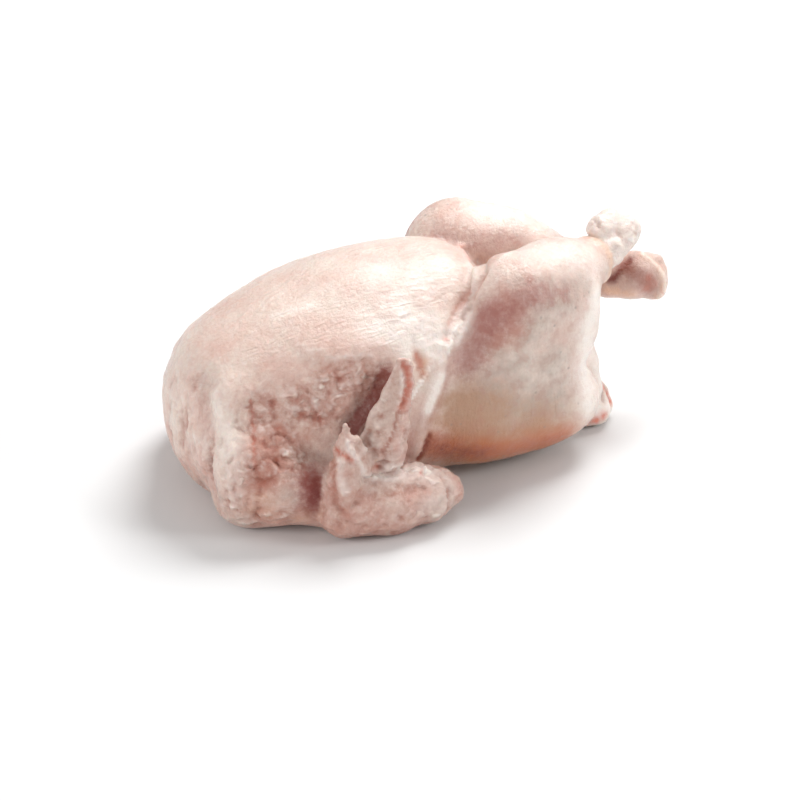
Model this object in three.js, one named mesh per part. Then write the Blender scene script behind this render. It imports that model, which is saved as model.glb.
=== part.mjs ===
// A whole raw chicken, plucked and dressed, lying on its back. The breast is up, the wings are
// folded with their tips laid up the sides, and the drumsticks are drawn together over the belly
// with their cut hocks crossed behind. It is one piece of meat, bone and skin, so it is one solid.
//
// Millimetres, +Z up, the table at Z = 0. +X runs from the neck end to the tail and +Y to the
// bird's left. The origin is under the middle of its bounding box.
//
// The bird is written as a field: for every point, how far it lies outside the skin. Each part of
// the body is a rounded form with its own field, and neighbouring forms are joined with a soft
// blend, wide where the skin stretches over both and narrow where it folds into a crease. The
// skin is then traced where the field is zero.
import * as THREE from "three";

// ---------------------------------------------------------------- driving dimensions

// Edge of the lattice cells the skin is traced on, how far the traced points may slide to it in
// each round, and the depth of the flesh that fills a pinched corner.
const CELL = 5.6;
const SLIDE = 2.0;
const SLIDE_ROUNDS = 3;
const PINCH_FILL = 0.5;

// The space searched for skin, larger than the bird on every side.
const SEARCH_MIN = [-134, -98, -6];
const SEARCH_MAX = [156, 98, 124];

// Points this close to the table are pressed flat on it, and the skin rounds over into that
// flat patch within PRESS_BLEND.
const PRESS = 0.9;
const PRESS_BLEND = 3;

// Ribs and breast: egg forms, given by their centre and how far they reach to the tail, to the
// neck, to each side, up and down. A squareness of 2 is an ellipsoid, and more is boxier.
const RIBS = { at: [-15, 0, 38], tail: 68, neck: 96, side: 54, up: 63.5, down: 40, square: 2.4 };
const KEEL = { at: [2, 0, 58], tail: 45, neck: 60, side: 35, up: 47.5, down: 40, square: 2.7 };
const FILLET = { at: [-22, 24, 44], tail: 46, neck: 46, side: 28, up: 47, down: 40, square: 2.35 };
const FILLET_TURN = 8;
const FILLET_LIFT = 8;
const CROP = { at: [-83, 0, 41], tail: 30, neck: 31.5, side: 36, up: 41, down: 44, square: 2.4 };

// Back and belly: ellipsoids, given by their centre and three half sizes. Behind the belly the
// skin hangs in a flap down to the tail, which is a flat stub with two glands and four lumps.
const BACK = { at: [0, 0, 34], half: [96, 41, 34] };
const BELLY = { at: [52, 0, 43], half: [42, 30, 34] };
const VENT_SKIN = {
  path: [[82, -12, 54], [87, -12, 42], [91, -13, 30], [92, -13, 20]],
  radii: [7, 9, 9.5, 9],
};
const TAIL = { at: [88.5, -13, 10], half: [19.5, 16, 12] };
const TAIL_TURN = -22;
const TAIL_LIFT = -5;
const GLANDS = [[[90, -18, 21], 7.5], [[90, 0, 21], 7.5]];
const TAIL_LUMPS = [
  [[98, -22, 6.5], 6.5],
  [[102, -13, 12], 6.5],
  [[97, -19, 17], 5.5],
  [[104.5, -16, 5.5], 5.5],
];

// Shoulders: a rounded joint and the fold of neck skin that hangs down in front of it. The left
// one lies further back than the right.
const SHOULDER = { at: [-83, 38, 27], half: [27, 20, 27] };
const SHOULDER_TURN = 20;
const NECK_FOLD = { path: [[-94, 26, 62], [-97, 32, 38], [-94.5, 35.5, 14]], radii: [9, 14, 12.5] };
const LEFT_SHOULDER_SET_BACK = 8;

// Wings, written for the left side: the upper arm runs back along the body, the forearm forward
// again along the table, and the flat hand leans up the side of the breast with its thumb apart.
// Feathers grew from the forearm's quill edge and from the seam down the hand's rear edge. The
// left wing lies flatter than the right one, at LEFT_WING_HEIGHT of its height.
const LEFT_WING_HEIGHT = 0.87;
const UPPER_ARM = { path: [[-77, 47, 23], [-52, 56, 16], [-14, 66, 13]], radii: [19, 15.5, 11] };
const FOREARM = {
  path: [[-5.5, 67.5, 13], [-16, 69.5, 13], [-34, 70, 13], [-56, 67, 14]],
  radii: [8.6, 11, 12.5, 12.5],
};
const QUILL_EDGE = {
  path: [[-10, 66, 17], [-22, 66, 21.5], [-36, 67, 20], [-56, 65, 24]],
  radii: [7.5, 8, 8.5, 10],
};
const HAND = {
  path: [[-39, 63, 26], [-36, 63.5, 42], [-33, 63, 54], [-28.5, 62, 67], [-24.5, 60.5, 82]],
  radii: [10.5, 11, 9.6, 7.2, 3.4],
};
const HAND_FLATNESS = 2.1;
const HAND_FACING = [-0.25, 0.95, 0.11];
const HAND_MIDDLE = [-34.5, 63.5, 50];
const SEAM = {
  path: [[-34, 64, 30], [-30, 64.5, 42], [-27.5, 64.5, 50], [-25, 63.5, 62], [-22, 61.5, 81]],
  radii: [4, 4, 3.8, 3.4, 2.6],
};
const THUMB = {
  path: [[-57.5, 67, 18], [-57, 68, 30], [-56.5, 68, 39], [-56, 67.5, 46], [-55.5, 67, 52]],
  radii: [10.5, 8.2, 6.8, 5.2, 3.4],
};

// The hollow in the body's side along the front of each hand, written for the left side.
const HOLLOW = {
  path: [[-27, 54, 79], [-33, 56, 69.5], [-41, 57, 62.5], [-48, 58.5, 54], [-52, 61, 43]],
  radii: [1.5, 3, 4.9, 5.6, 3.8],
};

// Thighs, written for the left side: four overlapping ellipsoids that fill the skin between the
// knee, the belly and the table.
const THIGH = { at: [33, 37, 38], half: [43, 20, 32] };
const THIGH_TURN = -4;
const THIGH_LIFT = -4;
const RUMP = { at: [62, 34, 28], half: [28.5, 21.5, 21] };
const UNDERTHIGH = { at: [36, 34.5, 23.5], half: [40, 18, 13.5] };
const UNDERTHIGH_LIFT = 3;
const CALF = { at: [54, 34, 70], half: [35.5, 19, 28] };
const CALF_LIFT = -8;

// Drumsticks and hocks. Each drumstick tapers from the knee through mid to the end of its skin,
// where the bare hock comes out and ends in round knuckles. The right hock lies on top. The skin
// reaches past the last point of its path by SKIN_END.
const SKIN_END = 4;
const LEGS = [
  {
    side: -1,
    drumstick: { path: [[46, -33, 87], [72, -22.5, 86], [95, -13, 86]], radii: [22, 17, 12.5] },
    hock: { path: [[94, -14, 86], [105, -12, 89.5], [114.5, -8, 94]], radii: [10.5, 7.8, 8.5] },
    knuckles: [
      [[105, -7, 99.5], 7],
      [[118.5, -8, 97], 7],
      [[111, -4, 100], 7.5],
      [[122.5, -8, 94.5], 3.5],
    ],
  },
  {
    side: 1,
    drumstick: { path: [[46, 33.5, 85], [71, 23, 81], [100, 10, 71]], radii: [22, 16.5, 12] },
    hock: {
      path: [[98, 12, 73], [115, 1.5, 67], [126, -4, 68.5], [133, -7, 67]],
      radii: [9.5, 9, 11, 8.5],
    },
    knuckles: [[[134.5, -3, 71.5], 6.5], [[134, -9.5, 62.5], 6]],
  },
];

// How softly neighbouring forms run into each other.
const BLEND = {
  breast: 12,
  back: 14,
  belly: 18,
  vent: 10,
  tail: 8,
  lump: 4,
  shoulder: 9,
  thigh: 20,
  rump: 9,
  drumstick: 14,
  skinEnd: 3,
  legToBody: 4,
  arm: 7,
  hand: 4,
  hollow: 3,
  wingToBody: 3,
  knuckle: 4,
  hock: 3,
};

// ---------------------------------------------------------------- rounded forms as fields

const degrees = THREE.MathUtils.degToRad;

// The smaller of two distances, rounded off where they are within blend of each other.
function softMin(a, b, blend) {
  const overlap = Math.max(blend - Math.abs(a - b), 0) / blend;
  return Math.min(a, b) - (overlap * overlap * blend) / 4;
}

const softMax = (a, b, blend) => -softMin(-a, -b, blend);

// Several forms as one.
const join = (blend, ...forms) => (p) =>
  forms.map((form) => form(p)).reduce((a, b) => softMin(a, b, blend));

// One form with another cut out of it.
const without = (form, cutter, blend) => (p) => softMax(form(p), -cutter(p), blend);

// The point seen from a form's own centre and axes: turned about Z, then its nose lifted.
function localise(at, turn, lift) {
  const spin = new THREE.Matrix4().makeRotationZ(degrees(turn));
  spin.multiply(new THREE.Matrix4().makeRotationY(degrees(-lift)));
  const centre = new THREE.Vector3(...at);
  const toLocal = spin.invert();
  return (p) => p.clone().sub(centre).applyMatrix4(toLocal);
}

// An egg with its own reach in each direction. The field is the distance to first order: how far
// the shape's measure is above one, divided by how fast it grows.
function egg({ at, tail, neck, side, up, down, square }, turn = 0, lift = 0) {
  const local = localise(at, turn, lift);
  return (p) => {
    const q = local(p);
    const reach = [q.x > 0 ? tail : neck, side, q.z > 0 ? up : down];
    const u = [q.x, q.y, q.z].map((value, i) => Math.abs(value) / reach[i]);
    const sum = u.reduce((total, value) => total + value ** square, 1e-12);
    const measure = sum ** (1 / square);
    const slopes = u.map((value, i) => value ** (square - 1) / reach[i]);
    return (measure - 1) / (Math.hypot(...slopes) * measure ** (1 - square));
  };
}

const ellipsoid = ({ at, half: [x, y, z] }, turn = 0, lift = 0) =>
  egg({ at, tail: x, neck: x, side: y, up: z, down: z, square: 2 }, turn, lift);

const ball = ([at, radius]) => {
  const centre = new THREE.Vector3(...at);
  return (p) => p.distanceTo(centre) - radius;
};

// A round bar from one point to the next, its radius changing evenly along it.
function bar(from, to, radiusFrom, radiusTo) {
  const line = new THREE.Line3(new THREE.Vector3(...from), new THREE.Vector3(...to));
  const foot = new THREE.Vector3();
  return (p) => {
    const along = line.closestPointToPointParameter(p, true);
    return p.distanceTo(line.at(along, foot)) - THREE.MathUtils.lerp(radiusFrom, radiusTo, along);
  };
}

// A limb: bars end to end.
function limb({ path, radii }, blend) {
  const bars = path.slice(1).map((to, i) => bar(path[i], to, radii[i], radii[i + 1]));
  return join(blend, ...bars);
}

// The same form pressed flat across one direction.
function flatten(form, middle, facing, flatness) {
  const centre = new THREE.Vector3(...middle);
  const across = new THREE.Vector3(...facing).normalize();
  return (p) => {
    const offset = p.clone().sub(centre).dot(across);
    return form(p.clone().addScaledVector(across, (flatness - 1) * offset));
  };
}

// A form written for the left side, seen in a mirror when it is wanted on the right.
const onSide = (side, form) => (p) => form(new THREE.Vector3(p.x, p.y * side, p.z));

// A wing's form on its own side, at its own height.
const wingOnSide = (side, form) => {
  const height = side > 0 ? LEFT_WING_HEIGHT : 1;
  return (p) => form(new THREE.Vector3(p.x, p.y * side, p.z / height));
};

const moved = (form, x) => (p) => form(new THREE.Vector3(p.x - x, p.y, p.z));

// ---------------------------------------------------------------- the bird

function breast() {
  const fillets = [-1, 1].map((side) => onSide(side, egg(FILLET, -FILLET_TURN, FILLET_LIFT)));
  return join(BLEND.breast, egg(RIBS), egg(KEEL), ...fillets, egg(CROP));
}

function tail() {
  const stub = ellipsoid(TAIL, TAIL_TURN, TAIL_LIFT);
  return join(BLEND.lump, stub, ...GLANDS.map(ball), ...TAIL_LUMPS.map(ball));
}

function backAndTail() {
  const trunk = join(BLEND.belly, ellipsoid(BACK), ellipsoid(BELLY));
  return join(BLEND.tail, join(BLEND.vent, trunk, limb(VENT_SKIN, BLEND.vent)), tail());
}

function shoulder(side) {
  const setBack = side > 0 ? LEFT_SHOULDER_SET_BACK : 0;
  const joint = ellipsoid(SHOULDER, -SHOULDER_TURN);
  const whole = join(BLEND.shoulder, joint, limb(NECK_FOLD, BLEND.shoulder));
  return moved(onSide(side, whole), setBack);
}

function upperArm(side) {
  return onSide(side, limb(UPPER_ARM, BLEND.arm));
}

function foldedWing(side) {
  const forearm = join(BLEND.arm, limb(FOREARM, BLEND.arm), limb(QUILL_EDGE, BLEND.arm));
  const palm = flatten(limb(HAND, BLEND.hand), HAND_MIDDLE, HAND_FACING, HAND_FLATNESS);
  const hand = join(BLEND.hand, palm, limb(SEAM, BLEND.hand));
  return wingOnSide(side, join(BLEND.hand, forearm, hand, limb(THUMB, BLEND.hand)));
}

// The skin ends square across the drumstick.
function pastSkinEnd([knee, end]) {
  const last = new THREE.Vector3(...end);
  const along = last.clone().sub(new THREE.Vector3(...knee)).normalize();
  return (p) => p.clone().sub(last).dot(along) - SKIN_END;
}

function leg({ side, drumstick }) {
  const thigh = join(
    BLEND.thigh,
    ellipsoid(THIGH, THIGH_TURN, THIGH_LIFT),
    ellipsoid(CALF, 0, CALF_LIFT),
  );
  const filled = join(
    BLEND.rump,
    thigh,
    ellipsoid(RUMP),
    ellipsoid(UNDERTHIGH, 0, UNDERTHIGH_LIFT),
  );
  const whole = join(BLEND.drumstick, onSide(side, filled), limb(drumstick, BLEND.drumstick));
  const past = pastSkinEnd(drumstick.path.slice(1));
  return (p) => softMax(whole(p), past(p), BLEND.skinEnd);
}

function hock({ hock: shank, knuckles }) {
  return join(BLEND.knuckle, limb(shank, BLEND.knuckle), ...knuckles.map(ball));
}

// The whole bird, from the trunk outwards: each new part meets what is already there with the
// blend that its own crease has.
function bird() {
  let body = join(BLEND.back, breast(), backAndTail());
  body = join(BLEND.legToBody, body, ...LEGS.map(leg));
  for (const side of [-1, 1]) {
    body = join(BLEND.shoulder, body, shoulder(side));
    body = join(BLEND.arm, body, upperArm(side));
    body = without(body, wingOnSide(side, limb(HOLLOW, BLEND.arm)), BLEND.hollow);
  }
  const withHocks = join(BLEND.hock, body, ...LEGS.map(hock));
  const whole = join(BLEND.wingToBody, withHocks, foldedWing(-1), foldedWing(1));
  return (p) => softMax(whole(p), -p.z, PRESS_BLEND);
}

// ---------------------------------------------------------------- tracing the skin

const AXES = [0, 1, 2];
const CORNERS = SEARCH_MIN.map((low, axis) => Math.ceil((SEARCH_MAX[axis] - low) / CELL) + 1);
const STRIDE = [1, CORNERS[0], CORNERS[0] * CORNERS[1]];

const indexOf = (cell) => AXES.reduce((sum, axis) => sum + cell[axis] * STRIDE[axis], 0);

const placeOf = (cell) =>
  new THREE.Vector3(...AXES.map((axis) => SEARCH_MIN[axis] + cell[axis] * CELL));

function* everyCell(margin) {
  for (let k = margin; k < CORNERS[2] - margin; k += 1) {
    for (let j = margin; j < CORNERS[1] - margin; j += 1) {
      for (let i = margin; i < CORNERS[0] - margin; i += 1) {
        yield [i, j, k];
      }
    }
  }
}

// The neighbour of a lattice corner, so many steps along each axis.
const stepped = (cell, ...moves) =>
  moves.reduce((at, [axis, count]) => at.with(axis, at[axis] + count), cell);

// The two axes other than this one, in the order that keeps a right-handed turn.
const othersOf = (axis) => [(axis + 1) % 3, (axis + 2) % 3];

// The twelve edges of a lattice cell, each as its lower and its upper corner.
const CELL_EDGES = AXES.flatMap((axis) => {
  const [first, second] = othersOf(axis);
  return [0, 1].flatMap((u) =>
    [0, 1].map((v) => {
      const low = stepped([0, 0, 0], [first, u], [second, v]);
      return [low, stepped(low, [axis, 1])];
    }),
  );
});

// The faces and the long diagonals of a lattice cell, as the two opposite pairs of corners on
// each face, and as the two ends of each diagonal with the six corners between them.
const CELL_FACES = AXES.map((axis) => {
  const [first, second] = othersOf(axis);
  const corner = (u, v) => stepped([0, 0, 0], [first, u], [second, v]);
  return [[corner(0, 0), corner(1, 1)], [corner(1, 0), corner(0, 1)]];
});
const CELL_CORNERS = [0, 1, 2, 3, 4, 5, 6, 7].map((n) => [n & 1, (n >> 1) & 1, (n >> 2) & 1]);
const CELL_DIAGONALS = [0, 1, 2, 3].map((n) => {
  const ends = [n, 7 - n];
  return [ends, [0, 1, 2, 3, 4, 5, 6, 7].filter((m) => !ends.includes(m))].map((group) =>
    group.map((m) => CELL_CORNERS[m]),
  );
});

// Where the skin would meet itself along a lattice edge or at a point, the smaller gap is filled
// with a trace of flesh, so that the traced skin is a single closed surface.
function fillPinches(values) {
  const groups = [...CELL_FACES, ...CELL_DIAGONALS];
  let filled = 0;
  for (const cell of everyCell(1)) {
    for (const [pair, others] of groups) {
      const here = pair.map((corner) => indexOf(stepped(cell, ...corner.entries())));
      const there = others.map((corner) => indexOf(stepped(cell, ...corner.entries())));
      const insideHere = here.map((index) => values[index] < 0);
      const insideThere = there.map((index) => values[index] < 0);
      const split =
        insideHere.every((inside) => inside === insideHere[0]) &&
        insideThere.every((inside) => inside !== insideHere[0]);
      if (split) {
        const outside = insideHere[0] ? there : here;
        const nearest = outside.reduce((a, b) => (values[a] < values[b] ? a : b));
        values[nearest] = -PINCH_FILL;
        filled += 1;
      }
    }
  }
  return filled > 0 ? fillPinches(values) : values;
}

// One point in each cell that the skin passes through: the mean of where it cuts the cell's edges.
function pointsInCells(values) {
  const points = [];
  const pointOfCell = new Map();
  for (const cell of everyCell(0)) {
    if (AXES.some((axis) => cell[axis] > CORNERS[axis] - 2)) {
      continue;
    }
    const sum = new THREE.Vector3();
    let cuts = 0;
    for (const [low, high] of CELL_EDGES) {
      const from = stepped(cell, ...low.entries());
      const to = stepped(cell, ...high.entries());
      const a = values[indexOf(from)];
      const b = values[indexOf(to)];
      if (a < 0 !== b < 0) {
        sum.add(placeOf(from).lerp(placeOf(to), a / (a - b)));
        cuts += 1;
      }
    }
    if (cuts > 0) {
      pointOfCell.set(indexOf(cell), points.length);
      points.push(sum.divideScalar(cuts));
    }
  }
  return { points, pointOfCell };
}

// A four-sided face round each lattice edge that the skin cuts, turned to face outwards.
function facesRoundEdges(values, pointOfCell) {
  const faces = [];
  for (const cell of everyCell(1)) {
    for (const axis of AXES) {
      const inside = values[indexOf(cell)] < 0;
      if (inside === values[indexOf(stepped(cell, [axis, 1]))] < 0) {
        continue;
      }
      const [first, second] = othersOf(axis);
      const around = [[-1, -1], [0, -1], [0, 0], [-1, 0]];
      const face = around.map(([u, v]) =>
        pointOfCell.get(indexOf(stepped(cell, [first, u], [second, v]))),
      );
      faces.push(inside ? face : face.reverse());
    }
  }
  return faces;
}

// How fast the field grows along each axis at a point.
function slopeAt(form, p) {
  const reach = CELL / 10;
  const slope = new THREE.Vector3();
  for (const axis of AXES) {
    const ahead = p.clone().setComponent(axis, p.getComponent(axis) + reach);
    const behind = p.clone().setComponent(axis, p.getComponent(axis) - reach);
    slope.setComponent(axis, (form(ahead) - form(behind)) / (2 * reach));
  }
  return slope;
}

// Moves a point onto the skin, a bounded step at a time, then presses it to the table if close.
function settle(form, p) {
  for (let round = 0; round < SLIDE_ROUNDS; round += 1) {
    const slope = slopeAt(form, p);
    const toSkin = slope.multiplyScalar(-form(p) / Math.max(slope.lengthSq(), 0.04));
    p.add(toSkin.clampLength(0, SLIDE));
  }
  if (p.z < PRESS) {
    p.z = 0;
  }
}

// Each four-sided face as two triangles, split across its shorter diagonal.
function triangles(faces, points) {
  return faces.flatMap(([a, b, c, d]) => {
    const shortWay = points[a].distanceTo(points[c]) < points[b].distanceTo(points[d]);
    return shortWay ? [a, b, c, a, c, d] : [b, c, d, b, d, a];
  });
}

function traceSkin(form) {
  const values = new Float64Array(CORNERS[0] * CORNERS[1] * CORNERS[2]);
  for (const cell of everyCell(0)) {
    values[indexOf(cell)] = form(placeOf(cell));
  }
  fillPinches(values);
  const { points, pointOfCell } = pointsInCells(values);
  const faces = facesRoundEdges(values, pointOfCell);
  points.forEach((point) => settle(form, point));
  const skin = new THREE.BufferGeometry().setFromPoints(points);
  skin.setIndex(triangles(faces, points));
  return skin;
}

// ---------------------------------------------------------------- the object

const geometry = traceSkin(bird());
geometry.computeBoundingBox();
const middle = geometry.boundingBox.getCenter(new THREE.Vector3());
geometry.translate(-middle.x, -middle.y, -geometry.boundingBox.min.z);
geometry.computeVertexNormals();

const skin = new THREE.MeshStandardMaterial({ color: "#e9cfc6", roughness: 0.4, metalness: 0 });
const chicken = new THREE.Mesh(geometry, skin);
chicken.name = "chicken";

const object = new THREE.Group();
object.add(chicken);

export default object;
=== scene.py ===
# %% [markdown]
# # A whole raw chicken
#
# A plucked and dressed chicken lies on its back. The breast is up, the wings are folded with their
# tips laid up the sides, and the drumsticks are drawn together with their hocks crossed. It is one
# skin over one body, so this lesson makes one mesh and one material:
#
# 1. the body is written as rounded forms that run into each other, like a sculptor's clay,
# 2. the skin is traced over them as an even net of small four-sided faces,
# 3. folds, wrinkles and feather pits are pressed into that net,
# 4. maps of where meat, fat and blood show through, and of painted shade and highlights, are painted on
#    its points,
# 5. a wet skin material reads those maps.

# %% The frame
import math

import bpy
import numpy as np
from mathutils import Matrix, Vector, noise
from mathutils.kdtree import KDTree


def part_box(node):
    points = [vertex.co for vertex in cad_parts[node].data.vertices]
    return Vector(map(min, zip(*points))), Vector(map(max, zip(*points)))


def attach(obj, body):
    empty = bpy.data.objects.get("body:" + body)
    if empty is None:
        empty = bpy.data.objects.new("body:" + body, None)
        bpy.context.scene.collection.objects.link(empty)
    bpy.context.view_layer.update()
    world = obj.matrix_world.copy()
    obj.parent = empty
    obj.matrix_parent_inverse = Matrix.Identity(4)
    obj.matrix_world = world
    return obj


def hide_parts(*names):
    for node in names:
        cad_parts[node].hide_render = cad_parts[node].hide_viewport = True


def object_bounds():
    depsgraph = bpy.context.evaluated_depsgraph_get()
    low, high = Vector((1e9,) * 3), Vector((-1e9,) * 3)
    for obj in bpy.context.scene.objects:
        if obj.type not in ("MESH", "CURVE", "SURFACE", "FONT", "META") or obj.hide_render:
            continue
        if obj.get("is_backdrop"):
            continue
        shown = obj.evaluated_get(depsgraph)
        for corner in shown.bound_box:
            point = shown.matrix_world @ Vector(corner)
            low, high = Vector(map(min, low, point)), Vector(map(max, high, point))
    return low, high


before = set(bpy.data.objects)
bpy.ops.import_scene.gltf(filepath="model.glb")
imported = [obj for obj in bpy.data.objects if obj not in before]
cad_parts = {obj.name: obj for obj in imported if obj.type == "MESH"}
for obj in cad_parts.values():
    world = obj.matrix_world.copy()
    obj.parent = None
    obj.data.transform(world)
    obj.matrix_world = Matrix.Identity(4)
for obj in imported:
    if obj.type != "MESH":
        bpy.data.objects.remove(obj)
cad_box = [list(corner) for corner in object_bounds()]
low, high = (np.array(corner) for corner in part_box("chicken"))
print("CAD solid, mm:", np.round((high - low) * 1000, 1))

# %% [markdown]
# The forms are written in millimetres for a bird 258.4 mm long, lying in its own drawing space:
# +X from the neck end to the tail, +Y to the bird's left, +Z up, the table at Z = 0. One factor
# scales them to the solid that they stand for, so the looks follow the frame if it changes.

# %% Driving sizes
DRAWN_LENGTH = 258.4
MM = (high[0] - low[0]) / DRAWN_LENGTH
STEP = 1.3
print(f"one drawn millimetre is {MM * 1000:.4f} mm, and the net's step is {STEP} mm")

# %% [markdown]
# ## Rounded forms
#
# A body like this could be sculpted by hand, lofted through sections or built from metaballs. Here
# each form is a distance field: a function that says, for many points at once, how far each lies
# outside the form. Fields can be joined with a soft blend whose width is chosen for every joint,
# wide where skin stretches over two forms and narrow where it folds into a crease. Clay can't do
# that so exactly, and the same functions later tell which part of the body a point belongs to.


# %% Blending two fields
def soft_min(a, b, blend):
    overlap = np.maximum(blend - np.abs(a - b), 0) / blend
    return np.minimum(a, b) - overlap * overlap * blend / 4


def soft_max(a, b, blend):
    return -soft_min(-a, -b, blend)


def join(blend, *fields):
    whole = fields[0]
    for field in fields[1:]:
        whole = soft_min(whole, field, blend)
    return whole


# %% An egg
def turned(points, at, turn, lift):
    """The points seen from a form's centre, turned about Z, with its tail end lifted."""
    c, s = math.cos(math.radians(turn)), math.sin(math.radians(turn))
    u, w = math.cos(math.radians(lift)), math.sin(math.radians(lift))
    about_z = np.array([[c, -s, 0], [s, c, 0], [0, 0, 1]])
    about_y = np.array([[u, 0, -w], [0, 1, 0], [w, 0, u]])
    return (points - np.array(at, float)) @ (about_z @ about_y)


def egg(points, at, tail, neck, side, up, down, square, turn=0, lift=0):
    """Reaches its own distance each way; square 2 is an ellipsoid, and more is boxier."""
    q = turned(points, at, turn, lift)
    reach = np.empty_like(q)
    reach[:, 0] = np.where(q[:, 0] > 0, tail, neck)
    reach[:, 1] = side
    reach[:, 2] = np.where(q[:, 2] > 0, up, down)
    u = np.abs(q) / reach
    measure = np.maximum((u**square).sum(1), 1e-12) ** (1 / square)
    slope = (u ** (square - 1) / reach) * (measure ** (1 - square))[:, None]
    return (measure - 1) / np.linalg.norm(slope, axis=1)


def ellipsoid(points, at, half, turn=0, lift=0):
    x, y, z = half
    return egg(points, at, x, x, y, z, z, 2, turn, lift)


def ball(points, at, radius):
    return np.linalg.norm(points - np.array(at, float), axis=1) - radius


# %% A limb: tapered bars end to end
def bar(points, start, end, radius_start, radius_end):
    start, end = np.array(start, float), np.array(end, float)
    line = end - start
    along = np.clip((points - start) @ line / (line @ line), 0, 1)
    gap = np.linalg.norm(points - start - along[:, None] * line, axis=1)
    return gap - (radius_start + (radius_end - radius_start) * along)


def limb(points, path, radii, blend):
    spans = zip(path, path[1:], radii, radii[1:])
    return join(blend, *(bar(points, *span) for span in spans))


def flattened(points, middle, facing, flatness):
    """The points moved apart across one direction, so that a form around them gets thinner."""
    across = np.array(facing, float)
    across /= np.linalg.norm(across)
    offset = (points - np.array(middle, float)) @ across
    return points + (flatness - 1) * offset[:, None] * across


def mirrored(points, side):
    """A form is written once, for y above 0. side is 1 for the bird's left and -1 for its right."""
    return points * np.array([1, side, 1])


# %% [markdown]
# ## The body
#
# **Breast.** The rib cage is one large egg, broad at the shoulders. Two fillets lie over it, and the
# keel bone lifts the skin between them. The crop rounds the neck end off.


# %% Breast
def breast(points):
    ribs = egg(points, (-15, 0, 38), tail=68, neck=96, side=54, up=63.5, down=40, square=2.4)
    keel = egg(points, (2, 0, 58), tail=45, neck=60, side=35, up=47.5, down=40, square=2.7)
    crop = egg(points, (-83, 0, 41), tail=30, neck=31.5, side=36, up=41, down=44, square=2.4)
    fillets = [
        egg(mirrored(points, side), (-22, 24, 44), 46, 46, 28, 47, 40, 2.35, turn=-8, lift=8)
        for side in (-1, 1)
    ]
    return join(12, ribs, keel, *fillets, crop)


# %% [markdown]
# **Back, belly and tail.** The back is pressed flat on the table, the belly fills the space between
# the thighs, and the short tail lies out behind, leaning to the bird's right. Between belly and
# tail the skin folds in at the vent.


# %% Back, belly and tail
TAIL_LUMPS = [
    ((98, -22, 6.5), 6.5), ((102, -13, 12), 6.5), ((97, -19, 17), 5.5), ((104.5, -16, 5.5), 5.5),
]
VENT_SKIN = [(82, -12, 54), (87, -12, 42), (91, -13, 30), (92, -13, 20)]
VENT_SKIN_RADII = (7, 9, 9.5, 9)


def tail_stub(points):
    stub = ellipsoid(points, (88.5, -13, 10), (19.5, 16, 12), turn=-22, lift=-5)
    glands = [ball(points, (90, -9 + 9 * side, 21), 7.5) for side in (-1, 1)]
    lumps = [ball(points, place, radius) for place, radius in TAIL_LUMPS]
    return join(3, join(5, stub, *glands), *lumps)


def back(points):
    spine = ellipsoid(points, (0, 0, 34), (96, 41, 34))
    belly = ellipsoid(points, (52, 0, 43), (42, 30, 34))
    vent_skin = limb(points, VENT_SKIN, VENT_SKIN_RADII, 5)
    trunk = join(10, join(18, spine, belly), vent_skin)
    vent = ellipsoid(points, (96, 3, 30), (12, 10, 2.2), turn=-8, lift=-12)
    return soft_max(join(8, trunk, tail_stub(points)), -vent, 4)


# %% [markdown]
# **Legs.** Skin is stretched from the knee down to the table, so a leg shows as one broad rounded
# slab with the drumstick along its top. Four ellipsoids fill the slab. The drumstick tapers to the
# hock, where the skin ends in a collar and the bare joint comes out, ending in two knuckles. The
# right hock lies on top of the left one.

# %% Legs
RIGHT, LEFT = -1, 1
DRUMSTICKS = {
    RIGHT: [(46, -33, 87), (72, -22.5, 86), (95, -13, 86)],
    LEFT: [(46, 33.5, 85), (71, 23, 81), (100, 10, 71)],
}
DRUMSTICK_RADII = {RIGHT: (22, 17, 12.5), LEFT: (22, 16.5, 12)}
COLLAR_TUBE = 1.6
COLLAR_AT = 3.5
SKIN_END = 4.0


def ring(points, centre, along, radius, tube):
    """A torus round an axis: the rolled end of the skin."""
    axis = np.array(along, float)
    axis /= np.linalg.norm(axis)
    offset = points - np.array(centre, float)
    height = offset @ axis
    across = np.linalg.norm(offset - height[:, None] * axis, axis=1)
    return np.hypot(across - radius, height) - tube


def shank_end(side):
    """Where a drumstick's last bar ends, and its direction there."""
    middle, end = (np.array(place, float) for place in DRUMSTICKS[side][1:])
    return end, (end - middle) / np.linalg.norm(end - middle)


def collar(points, side):
    end, along = shank_end(side)
    radius = DRUMSTICK_RADII[side][2] - COLLAR_TUBE
    return ring(points, end + along * COLLAR_AT, along, radius, COLLAR_TUBE)


def leg(points, side):
    q = mirrored(points, side)
    thigh = ellipsoid(q, (33, 37, 38), (43, 20, 32), turn=-4, lift=-4)
    calf = ellipsoid(q, (54, 34, 70), (35.5, 19, 28), lift=-8)
    rump = ellipsoid(q, (62, 34, 28), (28.5, 21.5, 21))
    underside = ellipsoid(q, (36, 34.5, 23.5), (40, 18, 13.5), lift=3)
    slab = join(9, join(20, thigh, calf), rump, underside)
    drumstick = limb(points, DRUMSTICKS[side], DRUMSTICK_RADII[side], 14)
    end, along = shank_end(side)
    cut = (points - end) @ along - SKIN_END
    return join(2, soft_max(join(14, slab, drumstick), cut, 3), collar(points, side))


FLARE = [(128, -5, 79.5), (137.5, -7, 76), (138.5, -9.5, 71.5), (137.5, -11.5, 66), (136.5, -13, 61)]
FLARE_RADII = (1.4, 1.9, 2.0, 2.0, 1.4)


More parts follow.
